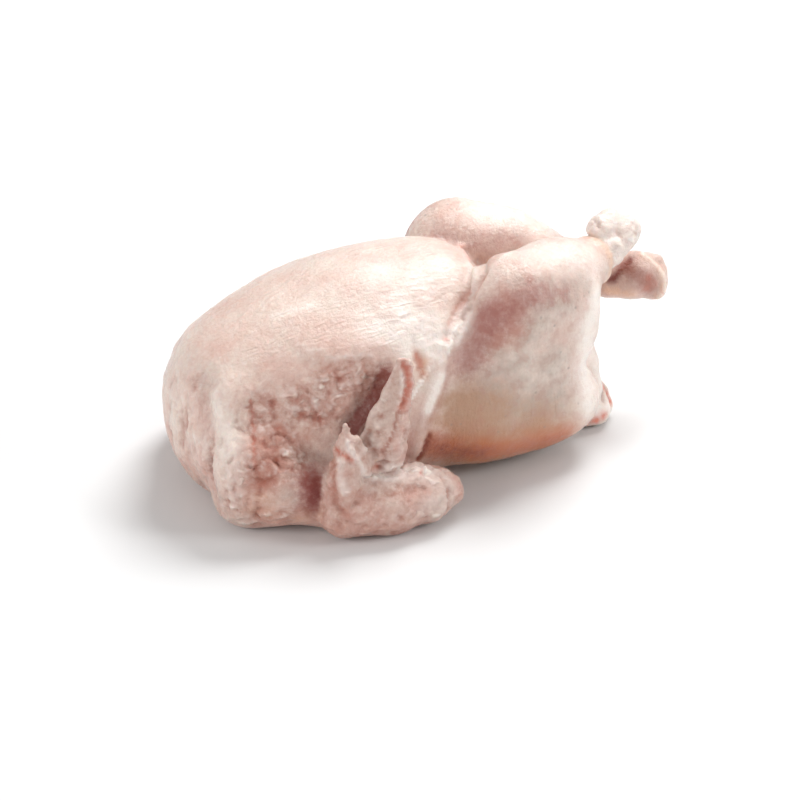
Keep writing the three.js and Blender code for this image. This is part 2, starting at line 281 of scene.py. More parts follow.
def right_hock(points):
    shank = limb(points, [(94, -14, 86), (105, -12, 89.5), (114.5, -8, 94)], (10.5, 7.8, 8.5), 4)
    knuckles = [
        ball(points, (105, -7, 99.5), 7),
        ball(points, (118.5, -8, 97), 7),
        ball(points, (111, -4, 100), 7.5),
        ball(points, (122.5, -8, 94.5), 3.5),
    ]
    return join(2.5, shank, *knuckles)


def left_hock(points):
    path = [(98, 12, 73), (115, 1.5, 67), (126, -4, 68.5), (133, -7, 67)]
    shank = limb(points, path, (9.5, 9, 11, 8.5), 5)
    knuckles = [ball(points, (134.5, -3, 71.5), 6.5), ball(points, (134, -9.5, 62.5), 6)]
    return join(3, shank, *knuckles, limb(points, FLARE, FLARE_RADII, 2))


# %% [markdown]
# **Shoulders and wings.** A fold of neck skin hangs in front of each shoulder. The upper arm runs
# back along the body to the elbow, the forearm comes forward again on the table, and the flat hand
# leans up the side of the breast with its small thumb apart. Feathers grew along the hand's rear
# edge, which is a soft, knobbly seam.


# %% Shoulders
SET_BACK = {RIGHT: 0, LEFT: 8}


def shoulder(points, side):
    q = mirrored(points, side) - np.array([SET_BACK[side], 0, 0])
    joint = ellipsoid(q, (-83, 38, 27), (27, 20, 27), turn=-20)
    neck_fold = limb(q, [(-94, 26, 62), (-97, 32, 38), (-94.5, 35.5, 14)], (9, 14, 12.5), 6)
    return join(9, joint, neck_fold)


def upper_arm(points, side):
    q = mirrored(points, side)
    return limb(q, [(-77, 47, 23), (-52, 56, 16), (-14, 66, 13)], (19, 15.5, 11), 7)


# %% Wings
HAND_PATH = [(-39, 63, 26), (-36, 63.5, 42), (-33, 63, 54), (-28.5, 62, 67), (-24.5, 60.5, 82)]
HAND_RADII = (10.5, 10.6, 8.8, 5.8, 3.2)
HAND_MIDDLE = (-34.5, 63.5, 50)
HAND_FACING = (-0.25, 0.95, 0.11)
HAND_FLATNESS = 2.1
SEAM_PATH = [
    (-34, 64, 30), (-30, 64.5, 42), (-27.5, 64.5, 50), (-25, 63.5, 62), (-23, 62.5, 73),
    (-22, 61.5, 81),
]
SEAM_RADII = (4, 4, 3.8, 3.4, 3.2, 2.6)
THUMB_PATH = [
    (-57.5, 67, 18), (-57, 68, 30), (-56.5, 68, 39), (-56, 67.5, 46), (-55.5, 67, 52),
    (-55.2, 67, 56.5), (-55, 67, 60),
]
THUMB_RADII = (10.5, 8.2, 6.8, 5.2, 3.4, 1.6, 0.9)
THUMB_SKIN = [(-55.5, 67.5, 52), (-50.5, 67, 50.5), (-49.5, 67, 44), (-47, 66, 36)]
THUMB_SKIN_RADII = (2.6, 2.4, 4, 5)


def forearm(points):
    bones = [(-5.5, 67.5, 13), (-16, 69.5, 13), (-34, 70, 13), (-56, 67, 14)]
    quills = [(-10, 66, 17), (-22, 66, 21.5), (-36, 67, 20), (-56, 65, 24)]
    lower = limb(points, bones, (8.6, 11, 12.5, 12.5), 5)
    return join(4, lower, limb(points, quills, (7.5, 8, 8.5, 10), 4))


def hand(points):
    q = flattened(points, HAND_MIDDLE, HAND_FACING, HAND_FLATNESS)
    palm = limb(q, HAND_PATH, HAND_RADII, 4)
    return join(1.5, palm, limb(points, SEAM_PATH, SEAM_RADII, 2))


def thumb(points):
    digit = limb(points, THUMB_PATH, THUMB_RADII, 2)
    return join(2, digit, limb(points, THUMB_SKIN, THUMB_SKIN_RADII, 2))


WING_HEIGHT = {RIGHT: 1.0, LEFT: 0.87}


def wing_space(points, side):
    """The left wing lies a little flatter than the right one."""
    return mirrored(points, side) / np.array([1, 1, WING_HEIGHT[side]])


def folded_wing(points, side):
    q = wing_space(points, side)
    return join(1.5, join(3, forearm(q), thumb(q)), hand(q))


# %% [markdown]
# The wing doesn't grow out of the body where it lies on it, so a hollow is cut in the body along
# the front of the wing before the wing is laid in place.

# %% The hollow beside the wing
HOLLOW_PATH = [(-27, 54, 79), (-33, 56, 69.5), (-41, 57, 62.5), (-48, 58.5, 54), (-52, 61, 43)]
HOLLOW_RADII = (1.5, 3.0, 4.9, 5.6, 3.8)


def hollow(points, side):
    return limb(wing_space(points, side), HOLLOW_PATH, HOLLOW_RADII, 5)


# %% [markdown]
# **The whole bird.** Parts are joined from the trunk outwards, each with the blend of its own
# crease. Last, everything below the table is cut away, which presses the flesh flat where it rests.


# %% The whole bird
def trunk_and_legs(points):
    trunk = join(14, breast(points), back(points))
    whole = join(4, trunk, leg(points, RIGHT), leg(points, LEFT))
    for side in (RIGHT, LEFT):
        whole = join(9, whole, shoulder(points, side))
        whole = join(7, whole, upper_arm(points, side))
        whole = soft_max(whole, -hollow(points, side), 3)
    return whole


def bird(points):
    whole = trunk_and_legs(points)
    whole = join(1.2, whole, right_hock(points))
    whole = join(1.2, whole, left_hock(points))
    for side in (RIGHT, LEFT):
        whole = join(1.4, whole, folded_wing(points, side))
    return soft_max(whole, -points[:, 2], 3)


# %% [markdown]
# ## Tracing the skin
#
# The field is sampled on a lattice. In every cell that the skin passes through, one point is put at
# the mean of the places where the skin cuts the cell's edges, and every cut edge gets a four-sided
# face round it. Such a net has even faces with no poles, and that suits fine relief far better than
# a remeshed sphere. Only blocks of cells near the skin are sampled finely.

# %% The lattice
SEARCH_LOW = np.array([-132.0, -94.0, -4.0])
SEARCH_HIGH = np.array([152.0, 94.0, 122.0])
BLOCK = 4
BLOCK_MARGIN = 1.25
BATCH = 200_000


def in_batches(field, points):
    parts = [field(points[i : i + BATCH]) for i in range(0, len(points), BATCH)]
    return np.concatenate(parts)


def sample_lattice(field, step):
    blocks = np.ceil((SEARCH_HIGH - SEARCH_LOW) / (step * BLOCK)).astype(int)
    axes = [SEARCH_LOW[i] + step * (BLOCK * np.arange(blocks[i]) + (BLOCK - 1) / 2) for i in range(3)]
    centres = np.stack(np.meshgrid(*axes, indexing="ij"), -1).reshape(-1, 3)
    rough = in_batches(field, centres).reshape(blocks)
    values = rough.repeat(BLOCK, 0).repeat(BLOCK, 1).repeat(BLOCK, 2)
    half_diagonal = step * BLOCK * math.sqrt(3) / 2
    near = np.abs(rough) < half_diagonal * BLOCK_MARGIN
    fine = np.argwhere(near.repeat(BLOCK, 0).repeat(BLOCK, 1).repeat(BLOCK, 2))
    values[tuple(fine.T)] = in_batches(field, SEARCH_LOW + step * fine)
    return values


# %% Points in cells, and faces round edges
def cell_points(values, step):
    inside = values < 0
    size = np.array(values.shape) - 1
    corners = [
        inside[i : size[0] + i, j : size[1] + j, k : size[2] + k]
        for i in (0, 1)
        for j in (0, 1)
        for k in (0, 1)
    ]
    count = sum(corner.astype(np.int8) for corner in corners)
    cut = (count > 0) & (count < 8)
    cells = np.argwhere(cut)
    number = np.full(cut.shape, -1)
    number[cut] = np.arange(len(cells))
    total = np.zeros((len(cells), 3))
    cuts = np.zeros(len(cells))
    for axis in range(3):
        u, v = (axis + 1) % 3, (axis + 2) % 3
        for du, dv in ((0, 0), (0, 1), (1, 0), (1, 1)):
            start = cells.copy()
            start[:, u] += du
            start[:, v] += dv
            end = start.copy()
            end[:, axis] += 1
            a, b = values[tuple(start.T)], values[tuple(end.T)]
            crosses = (a < 0) != (b < 0)
            place = start[crosses].astype(float)
            place[:, axis] += a[crosses] / (a[crosses] - b[crosses])
            total[crosses] += place
            cuts[crosses] += 1
    return SEARCH_LOW + step * total / cuts[:, None], number


def edge_faces(values, number):
    inside = values < 0
    faces = []
    for axis in range(3):
        u, v = (axis + 1) % 3, (axis + 2) % 3
        here, ahead = [slice(1, -1)] * 3, [slice(1, -1)] * 3
        here[axis], ahead[axis] = slice(0, -1), slice(1, None)
        a, b = inside[tuple(here)], inside[tuple(ahead)]
        for leaving in (True, False):
            edges = np.argwhere(a & ~b if leaving else ~a & b)
            edges[:, u] += 1
            edges[:, v] += 1
            ring = []
            for du, dv in ((-1, -1), (0, -1), (0, 0), (-1, 0)):
                cell = edges.copy()
                cell[:, u] += du
                cell[:, v] += dv
                ring.append(number[tuple(cell.T)])
            ring = np.stack(ring, 1)
            faces.append(ring if leaving else ring[:, ::-1])
    return np.concatenate(faces)


# %% Settling the points on the skin
def slope_at(field, points, reach):
    slope = np.empty_like(points)
    for axis in range(3):
        nudge = np.zeros(3)
        nudge[axis] = reach
        slope[:, axis] = (field(points + nudge) - field(points - nudge)) / (2 * reach)
    return slope


LEAST_SLOPE = 0.3
SETTLING_ROUNDS = 3


def settle(field, points, step):
    slope = slope_at(field, points, step / 4)
    size = np.maximum(np.linalg.norm(slope, axis=1), LEAST_SLOPE)
    for _ in range(SETTLING_ROUNDS):
        move = -field(points) / size
        points = points + np.clip(move, -step / 2, step / 2)[:, None] * slope / size[:, None]
    return points


values = sample_lattice(bird, STEP)
skin_points, cell_number = cell_points(values, STEP)
skin_faces = edge_faces(values, cell_number)
skin_points = settle(bird, skin_points, STEP)
skin_normals = slope_at(bird, skin_points, STEP / 2)
skin_normals /= np.maximum(np.linalg.norm(skin_normals, axis=1, keepdims=True), 1e-6)
print(f"net: {len(skin_points)} points, {len(skin_faces)} faces")
print("traced bird, mm:", np.round(np.ptp(skin_points, axis=0), 1))

# %% [markdown]
# ## Relief
#
# Wrinkles could be sculpted by brush, or left to a bump map. Here they move the net's own points
# along the skin's normal, so that folds also show along the outline and catch real shadows. A
# stroke is a curve laid on the skin, a spot is a round patch, and noise breaks both up. The bird
# is nearly symmetric, so what belongs to its anatomy is drawn on both sides. A mark is 1 at its
# middle and fades to 0 over the width given with it. In the sums, the number before a mark is its
# height in millimetres.

# %% Strokes and spots
skin_tree = KDTree(len(skin_points))
for index, point in enumerate(skin_points.tolist()):
    skin_tree.insert(point, index)
skin_tree.balance()

MARK_SPACING = 0.7
FADE = 2.6
POINTS_AT_ONCE = 4000


def laid_on_skin(path):
    """Close-set points along a path, rounded at its corners and put on the skin."""
    path = np.array(path, float)
    lengths = np.linalg.norm(np.diff(path, axis=0), axis=1)
    along = np.concatenate([[0], np.cumsum(lengths)])
    count = max(int(along[-1] / MARK_SPACING), 2)
    at = np.linspace(0, along[-1], count)
    line = np.stack([np.interp(at, along, path[:, i]) for i in range(3)], 1)
    for _ in range(count // 3):
        line[1:-1] = (line[:-2] + 2 * line[1:-1] + line[2:]) / 4
    return np.array([skin_tree.find(point)[0] for point in line.tolist()])


def closeness(marks, width):
    """1 at the marks, falling smoothly to 0 over about the width."""
    result = np.zeros(len(skin_points))
    reach = width * FADE
    within = (skin_points > marks.min(0) - reach) & (skin_points < marks.max(0) + reach)
    near = np.flatnonzero(within.all(1))
    for chunk in np.array_split(near, max(len(near) // POINTS_AT_ONCE, 1)):
        gaps = skin_points[chunk][:, None, :] - marks[None]
        nearest = np.sqrt((gaps**2).sum(-1).min(1))
        result[chunk] = np.exp(-((nearest / width) ** 2))
    return result


# %% On one side or on both
def flipped(path):
    return np.array(path, float) * np.array([1, -1, 1])


def stroke(path, width, both=True):
    one = closeness(laid_on_skin(path), width)
    return np.maximum(one, closeness(laid_on_skin(flipped(path)), width)) if both else one


def strokes(paths, width, both=True):
    return np.maximum.reduce([stroke(path, width, both) for path in paths])


def spots(places, width, both=True):
    """Round patches, put on the skin like the strokes."""
    centres = places + flipped(places).tolist() if both else places
    return closeness(np.array([skin_tree.find(place)[0] for place in centres]), width)


# %% Noise
SEED_STEP = np.array([31.7, 17.3, 43.1])


def soft_noise(size, octaves=3, stretch=(1, 1, 1), seed=0, points=None):
    """Clouds from about -1 to 1, each about the given size in mm, longer where stretch is small."""
    points = skin_points if points is None else points
    where = points * np.array(stretch) / size + SEED_STEP * seed
    return np.array([noise.fractal(p, 1.0, 2.0, octaves) for p in where.tolist()])


def bumps(size, share, seed=0):
    """Small domes, one in each cell of the given size, filling about the given share of it."""
    where = skin_points / size + SEED_STEP * seed
    nearest = np.array([noise.voronoi(p)[0][0] for p in where.tolist()])
    return np.clip(1 - nearest / share, 0, 1)


def above(value, start, width):
    """0 below start, 1 above start + width, smooth between."""
    t = np.clip((value - start) / width, 0, 1)
    return t * t * (3 - 2 * t)


# %% [markdown]
# Every point first learns which part of the bird it lies on. A part's own field is 0 on its
# surface, so a bell curve over that field is 1 on the part and fades where another takes over.


# %% Where the parts lie
def share_of(field, width):
    return np.exp(-((np.maximum(field, 0) / width) ** 2))


x, y, z = skin_points.T
bare_hock, wing_share, leg_share = np.zeros((3, len(skin_points)))
for side, hock in ((RIGHT, right_hock), (LEFT, left_hock)):
    leg_field = leg(skin_points, side)
    past_collar = above(leg_field, 0.2, 1.2)
    bare_hock = np.maximum(bare_hock, share_of(hock(skin_points), 1.0) * past_collar)
    wing_share = np.maximum(wing_share, share_of(folded_wing(skin_points, side), 1.2))
    leg_share = np.maximum(leg_share, share_of(leg_field, 3.0))
off_hock = 1 - bare_hock
off_wing = 1 - wing_share
leg_share *= off_hock * off_wing
body_share = off_wing * (1 - leg_share) * off_hock
breast_share = body_share * above(z, 55, 25)
off_table = above(z, 1.5, 6)
for part, share in (("wings", wing_share), ("legs", leg_share), ("hocks", bare_hock)):
    print(f"{(share > 0.5).mean():.0%} of the points lie on the {part}")

# %% [markdown]
# **Folds.** The neck skin hangs in a fold with a hollow in front of the shoulder. A web of skin is
# stretched from the breast to the thigh, with a few threads torn loose beside it. The breast skin
# ends in a cut rim over the legs, and a smooth flap of it lies over the gathered skin of the side.

# %% Where the body's folds run
NECK_HOLLOW = [(-106, -20, 70), (-109, -29, 54), (-111, -34, 43), (-112, -36, 32), (-109, -40, 16)]
NECK_DIMPLE = [(-112, -36, 36), (-112, -35, 29)]
NECK_RIDGE = [(-104, -28, 68), (-105, -34, 60), (-103, -41, 53), (-102, -48, 44), (-104, -53, 28)]
NECK_LINE = [(-90, -40, 67), (-91, -44, 57), (-93, -48, 51), (-95, -54, 40)]
WEB = [
    (20, -39, 84), (12, -43, 80), (5, -47, 75), (-1, -51, 67), (-6, -54, 58), (-11, -56, 45),
    (-14, -57, 28),
]
WEB_HIGHLIGHT = [(-0.5, -52.7, 64), (-2.4, -53.6, 62), (-4.3, -54.4, 59), (-6.7, -55.2, 55.5), (-9, -56, 51)]
WEB_EDGE = [
    (6.5, -47.7, 74), (4.4, -50, 70), (4, -51.3, 65), (0, -54, 56), (-7.5, -56, 46.5),
    (-12, -56.4, 39),
]
THIGH_CREASE = [
    (-7.3, -55.7, 37), (-8.8, -55.7, 34), (-10.3, -55.5, 31), (-11.5, -54.8, 27), (-13, -54.3, 24),
]
LEG_CREASE = [(48, 9, 86), (40, -22, 98), (33, -33, 100), (27, -34, 97), (22, -37, 89)]
LEG_EDGE = [
    (48, -27, 108), (34, -34, 105), (27, -36.5, 99), (22.5, -37.5, 92), (19, -39, 84),
    (11, -44.5, 77),
]
LEG_LINE = [(31, -32.3, 103.6), (26.5, -33, 99), (22, -35, 92), (17, -38, 85.5), (9, -44.5, 79)]
THREADS = [
    [(16, -39, 84), (12.4, -41, 82), (8.5, -44, 80), (6, -46.4, 77), (4.6, -48, 74.5)],
    [(6, -47, 77), (0, -48, 80)],
    [(-6, -52, 71), (-8, -53, 68), (-11, -54.3, 65.7), (-14.5, -55.4, 62.4), (-17.4, -56, 59)],
]
BREAST_RIM = [
    (40, 14, 94), (37, 4, 98), (33, -12, 100), (28.5, -27, 100), (25, -33, 97), (20, -35, 89),
    (14, -38, 85), (9, -42, 82),
]
RIM_BROWN = [(23.5, -30, 95), (20, -32.5, 92), (17, -35, 88.6), (13, -38, 86), (7, -43, 82)]
FLAP_LINE = [
    (-67, -45, 85), (-60, -49, 84), (-51, -52, 83), (-42, -52, 82), (-34, -54, 78), (-27, -52, 78),
]
FLAP = [(-58, -43, 89), (-48, -47, 89), (-38, -49, 87)]
FLAP_CRESTS = [
    [(-63, -41, 90), (-56, -44, 90)],
    [(-56, -48, 87), (-48, -50, 86)],
    [(-45, -50, 86), (-34, -51, 84)],
]

# %% How high and deep the body's folds are
FAR_STRENGTH = 0.3
near_side = FAR_STRENGTH + (1 - FAR_STRENGTH) * above(-y, -15, 25)
neck_hollow = stroke(NECK_HOLLOW, 5.5) * near_side
neck_dimple = stroke(NECK_DIMPLE, 2.6) * near_side
neck_ridge = stroke(NECK_RIDGE, 4.2) * near_side
neck_line = stroke(NECK_LINE, 1.4)
web = stroke(WEB, 3.2) * near_side
web_edge = stroke(WEB_EDGE, 2.0, both=False)
thigh_crease = stroke(THIGH_CREASE, 1.5) * near_side
leg_crease = stroke(LEG_CREASE, 2.0, both=False)
leg_edge = stroke(LEG_EDGE, 1.5, both=False)
leg_line = stroke(LEG_LINE, 1.3, both=False)
threads = strokes(THREADS, 0.8, both=False)
breast_rim = stroke(BREAST_RIM, 1.8, both=False)
flap_line = stroke(FLAP_LINE, 2.6)
flap_crests = strokes(FLAP_CRESTS, 1.1)

folds = -2.6 * neck_hollow - 2.4 * neck_dimple + 1.2 * neck_ridge
folds += 1.0 * web - 1.5 * leg_crease + 0.5 * leg_edge - 1.0 * leg_line
folds += 1.5 * breast_rim - 1.0 * stroke(RIM_BROWN, 2.0, both=False)
folds += 0.9 * spots(FLAP, 8) - 0.7 * flap_line
fine = 1.0 * threads + 0.3 * flap_crests - 0.6 * neck_line - 0.6 * web_edge - 1.2 * thigh_crease
print(f"folds move the skin from {folds.min():.1f} to {folds.max():.1f} mm")

# %% [markdown]
# **The wing's own relief.** Where the long feathers sat, the hand's rear edge is split open in a raw
# slot near the tip and is knobbly below it. A stretched fold runs from the thumb to the forearm, the
# thumb is nicked by the knife, and a shallow valley lies between the forearm's two bones.

# %% Where the wing's folds run
HAND_PLATE = [(-28, -64, 78), (-33, -66, 68), (-37, -66, 58), (-41, -67, 50)]
SLOT = [
    (-24.5, -63, 83), (-23.6, -64, 80), (-23.3, -65.5, 75.5), (-24, -66.5, 71.5),
    (-26, -67.3, 66.5), (-27.8, -67.7, 62),
]
SLOT_REAR = [(-21.8, -63, 83.5), (-21, -64.5, 78.7), (-21.4, -66, 74), (-23, -67, 68), (-24.3, -68, 60)]
SLOT_FRONT = [
    (-26.6, -62.5, 83), (-26, -64, 78.8), (-26, -65.3, 74.5), (-27.5, -67, 68.5),
    (-29, -67.8, 61.5),
]
SEAM = [
    (-21, -65, 80), (-21.5, -66, 73), (-22, -67, 64), (-25, -68.5, 56), (-28, -69.5, 48),
    (-31, -70, 41), (-36, -70, 36),
]
SEAM_LINE = [
    (-29, -67.8, 61.5), (-30.8, -69, 56), (-32, -69.2, 52), (-34.3, -69.4, 47), (-38, -69.3, 42.5),
]
HAND_DIPS = [
    (-43, -65, 52), (-40, -67, 51), (-44, -66, 47), (-42, -69, 44), (-37, -66, 60), (-37, -70, 41),
]
HAND_BUMPS = [(-42, -67, 48.5), (-40, -68, 46), (-47, -69, 46), (-39, -66, 55)]
HAND_FRONT = [
    (-28, -61, 83), (-32, -62.5, 76), (-36, -63, 69), (-41, -62.5, 62), (-44.5, -62, 54),
    (-46, -62, 49),
]
JOINT_CREASES = [
    [(-40, -69, 34.4), (-36, -70, 33.4)],
    [(-39, -69, 37), (-34.7, -70.2, 37.2)],
    [(-38.5, -69.5, 31.4), (-34, -70, 30.6)],
]
WING_FOLD = [
    (-56, -70, 53), (-54, -72, 45), (-48, -68, 35), (-43, -69, 31), (-38, -71, 29), (-32, -72, 28),
]
THUMB_CUT = [(-61.5, -68, 48.5), (-59.5, -71, 48), (-57.5, -72.5, 46.8), (-54.5, -73, 44.5)]
WRIST_VALLEY = [(-62.5, -68, 43.5), (-64, -70, 37), (-64.5, -72, 31), (-64, -75, 24), (-61, -77, 20)]
WRIST_RIDGE = [(-60, -72, 45), (-61, -74, 37), (-59.5, -76, 31)]
WRIST_PIT = [(-54.8, -77, 24.5), (-55.7, -77.7, 22)]
BONE_VALLEY = [(-52, -75, 26), (-44, -76, 26), (-36, -77, 25), (-27, -78, 24), (-18, -78, 22)]
ELBOW_CREASE = [(-10, -70, 26), (-8.5, -75, 22), (-7.5, -79, 17), (-9, -80, 12), (-10, -78, 6)]
FOREARM_EDGE = [(-38, -70, 31), (-29, -69, 32), (-20, -68, 30), (-11, -67, 26)]

# %% How high and deep the wing's folds are
slot = stroke(SLOT, 1.6) * wing_share
slot_lips = np.maximum(stroke(SLOT_REAR, 0.9), stroke(SLOT_FRONT, 0.8)) * wing_share * (1 - slot)
seam = stroke(SEAM, 3.0) * wing_share * (1 - slot)
seam_line = stroke(SEAM_LINE, 0.9) * wing_share
hand_front = stroke(HAND_FRONT, 0.9) * wing_share
wing_fold = stroke(WING_FOLD, 1.3)
thumb_cut = stroke(THUMB_CUT, 1.1)
wrist_valley = stroke(WRIST_VALLEY, 2.2)
wrist_ridge = stroke(WRIST_RIDGE, 2.0)
wrist_pit = stroke(WRIST_PIT, 1.5)
hand_dips = spots(HAND_DIPS, 1.7) * wing_share
hand_bumps = spots(HAND_BUMPS, 1.6) * wing_share
joint_creases = strokes(JOINT_CREASES, 0.9)
bone_valley = stroke(BONE_VALLEY, 3.0)
elbow_crease = stroke(ELBOW_CREASE, 1.3)
forearm_edge = stroke(FOREARM_EDGE, 3.8) * wing_share
fine += 1.0 * slot_lips - 1.1 * slot - 0.9 * seam_line - 1.1 * hand_dips + 0.8 * hand_bumps
fine += 1.4 * wing_fold - 1.0 * thumb_cut - 1.1 * joint_creases
fine += 0.7 * wrist_ridge - 1.0 * wrist_valley - 1.1 * wrist_pit
fine -= 0.5 * bone_valley + 1.1 * elbow_crease
print(f"with those of the wing, fine relief goes from {fine.min():.1f} to {fine.max():.1f} mm")

# %% [markdown]
# **Wrinkles.** Loose skin crinkles like wet paper. It is worst on the side in front of the wing.
# Fine folds run down the neck skin, slant over the shoulder and cross the rear of the breast.

# %% Ways to wrinkle
WARP, WARP_SIZE = 2.6, 7
WAVER, WAVER_SIZE = 2.2, 13
warp = np.stack([soft_noise(WARP_SIZE, 2, seed=i) for i in (1, 2, 3)], 1) * WARP
warped = skin_points + warp


def ridged(size, octaves, stretch, seed):
    """Thin crests with wider dips between them, from about -1 to 1."""
    return 1 - np.abs(soft_noise(size, octaves, stretch, seed, warped)) * 4


def puffed(size, octaves, stretch, seed):
    """Rounded bumps with narrow creases between them, from about -1 to 1."""
    return np.minimum(np.abs(soft_noise(size, octaves, stretch, seed, warped)) * 5, 2) - 1


def pleats(across, spacing, seed):
    """Rounded ridges at a spacing, square to a direction, wavering and fading in and out."""
    across = np.array(across) / np.linalg.norm(across)
    one_side = np.stack([x, -np.abs(y), z], 1)
    waver = WAVER * soft_noise(WAVER_SIZE, 2, seed=seed)
    fading = above(soft_noise(8, 2, seed=seed + 0.5), -0.35, 0.6)
    return np.sin((one_side @ across + waver) * (2 * math.pi / spacing)) * fading


# %% Gathered skin in front of the wing
CRINKLED = [
    (-80, -53, 52), (-86, -46, 63), (-72, -54, 66), (-62, -56, 62), (-88, -57, 42), (-78, -57, 44),
    (-56, -55, 74), (-42, -55, 76), (-92, -54, 38),
]
PUCKERS = [
    (-83, -47, 66), (-76, -51, 68), (-81, -51, 57), (-89, -51, 49), (-84, -56, 43), (-68, -52, 75),
    (-51, -54, 76),
]
LONG_PUCKERS = [[(-73, -54, 59), (-68, -56, 58), (-63, -57, 55)], [(-93, -59, 35), (-88, -61, 34)]]
SWELLS = [
    (-65, -51, 78), (-58, -53, 78), (-52, -56, 71), (-64, -56, 66), (-75, -53, 63), (-80, -56, 47),
    (-60, -57, 59),
]
crinkled = np.minimum(spots(CRINKLED, 10) * 1.2, 1) * body_share
puckers = np.maximum(spots(PUCKERS, 2.0), strokes(LONG_PUCKERS, 1.6))
swells = spots(SWELLS, 3.0)
crinkle = puffed(7.5, 2, (0.75, 1, 1), 4)
small_crinkle = puffed(4.4, 1, (0.8, 1, 1), 5)
upright_folds = pleats((1, 0.2, 0.2), 3.8, 21)
fine += crinkled * (0.65 * crinkle + 0.4 * small_crinkle + 0.35 * upright_folds - 0.1)
fine += crinkled * (0.9 * swells - 1.6 * puckers)
print(f"{(crinkled > 0.5).mean():.0%} of the skin is gathered")

# %% Neck and shoulder
SHOULDER_LOBE = [(-108, -48, 20), (-101, -54, 16), (-95, -60, 20), (-86, -63, 18), (-104, -54, 30)]
neck_skin = above(-x, 84, 14) * off_table * off_wing * above(-z, -82, 24)
neck_streaks = ridged(5.5, 2, (1, 1, 0.14), 6)
fine += (0.2 + 0.3 * near_side) * neck_skin * neck_streaks
lobe = spots(SHOULDER_LOBE, 10)
fine += lobe * (0.55 * pleats((0.75, 0.2, -1), 4.4, 7) + 0.4 * puffed(8, 2, (1, 1, 1), 18))
print(f"{(neck_skin > 0.5).mean():.0%} of the skin hangs from the neck")

# %% Breast, thigh and hand
REAR_BREAST = [(-18, -28, 102), (-3, -34, 97), (14, -32, 95), (-3, -40, 92), (-20, -40, 95)]
SIDE_WRINKLES = [(62, -56, 52), (61, -57, 44), (60, -57, 37), (71, -54, 46)]
rear_breast = spots(REAR_BREAST, 13) * near_side
along_body = soft_noise(3.4, 2, (0.28, 1, 1), 8, warped)
fine += rear_breast * (0.12 * along_body + 0.22 * puffed(5.5, 2, (0.45, 1, 1), 19))
side_wrinkles = spots(SIDE_WRINKLES, 7)
across_thigh = soft_noise(3.2, 2, (1, 1, 0.2), 15, warped)
fine += (0.08 * leg_share + 0.45 * side_wrinkles) * across_thigh
plate = stroke(HAND_PLATE, 7.5) * wing_share
fine += 0.45 * wing_share * (1 - plate) * ridged(5.2, 2, (0.7, 1, 0.8), 16)

# %% Unevenness all over
uneven = soft_noise(26, 2, seed=9)
mottle = soft_noise(6, 3, seed=10)
folds += off_hock * 0.6 * uneven
fine += off_hock * 0.2 * mottle
print(f"fine wrinkles, from {fine.min():.1f} to {fine.max():.1f} mm")

# %% [markdown]
# **Feather pits, fat and gristle.** A plucked feather leaves a small raised ring. They are large and
# close along the wing's seam and forearm, and tiny elsewhere. Lumps of fat lie under the skin of the
# flank and the rear of the breast. The bare hocks are lumpy gristle drawn into cords.

# %% Feather pits and fat
knobs = bumps(4.4, 0.6, seed=11)
fine += (1.6 * seam + 1.5 * forearm_edge + 0.4 * wing_share * (1 - plate)) * (knobs - 0.25)
pits = bumps(4.6, 0.26, seed=12)
fine += 0.25 * pits * off_hock * (1 - crinkled)
print(f"{(pits > 0).mean():.0%} of the points lie on the ring of a feather pit")

FLANK_PIT = [
    (-11.3, -50.5, 78), (-11, -51.3, 76), (-10.2, -52, 73.4), (-9.7, -52.8, 71),
    (-9.5, -53.4, 68.7),
]
flank_pit = stroke(FLANK_PIT, 3.0, both=False)
fine -= 0.9 * flank_pit
BREAST_FAT = [
    (1, -25, 102), (14, -19, 105), (-13, -34, 99), (-15, -15, 106), (-28, -43, 94), (-19, -45, 90),
    (0, -41, 89),
]
FLANK_WHITE = [
    (-24, -40, 90), (-20, -43, 87), (-15, -45, 84), (-6, -43, 86), (-3, -46, 80), (-13, -48, 80),
]
FLANK_FAT = [(-9, -48, 83), (-3, -49, 78), (-9, -42, 92), (-12, -40, 95), (-16, -52, 76), (2, -46, 80)]
breast_fat = spots(BREAST_FAT, 10) * near_side
flank_fat = spots(FLANK_FAT, 5) * near_side
lumps = bumps(5.5, 0.8, seed=13)
fine += 0.3 * breast_fat * (lumps - 0.4) + 1.4 * flank_fat * (lumps - 0.4)

# %% Gristle and the tail
FAR_RIM = [
    (128, -6.5, 80), (132, -9.5, 77.5), (135, -12.5, 73.5), (136.5, -14.5, 69), (137, -15, 64),
    (134, -15.5, 59.5),
]
FAR_DISH = [(119, -8, 77.5), (122, -13, 74), (126, -14, 71), (129, -15, 67)]
NEAR_CREASES = [
    [(111, -14, 99), (111.5, -17, 95.5)],
    [(115, -15, 99), (119, -13, 102)],
    [(121, -13.8, 100), (119, -15, 97.5)],
    [(101, -8, 105), (101.5, -12, 103)],
    [(108, -19, 94), (106, -19.5, 93.5)],
]
TAIL_FOLDS = [[(101, -20, 20), (99, -24, 14)], [(104, -14, 18), (103, -21, 9)]]
gristle = soft_noise(7, 3, seed=14)
gristle_cords = ridged(5.0, 2, (0.35, 0.35, 1), 17)
far_rim = stroke(FAR_RIM, 1.5, both=False)
tail_folds = strokes(TAIL_FOLDS, 1.6, both=False)
far_hock = share_of(left_hock(skin_points), 1.0) * bare_hock
near_hock = bare_hock * (1 - far_hock)
near_creases = strokes(NEAR_CREASES, 1.3, both=False)
fine += near_hock * (0.35 * gristle + 0.3 * gristle_cords - 0.9 * near_creases)
fine += far_hock * (0.1 * gristle - 1.2 * stroke(FAR_DISH, 6, both=False))
fine += 1.1 * far_rim - 1.2 * tail_folds
print(f"with pits, fat and gristle, from {fine.min():.1f} to {fine.max():.1f} mm")

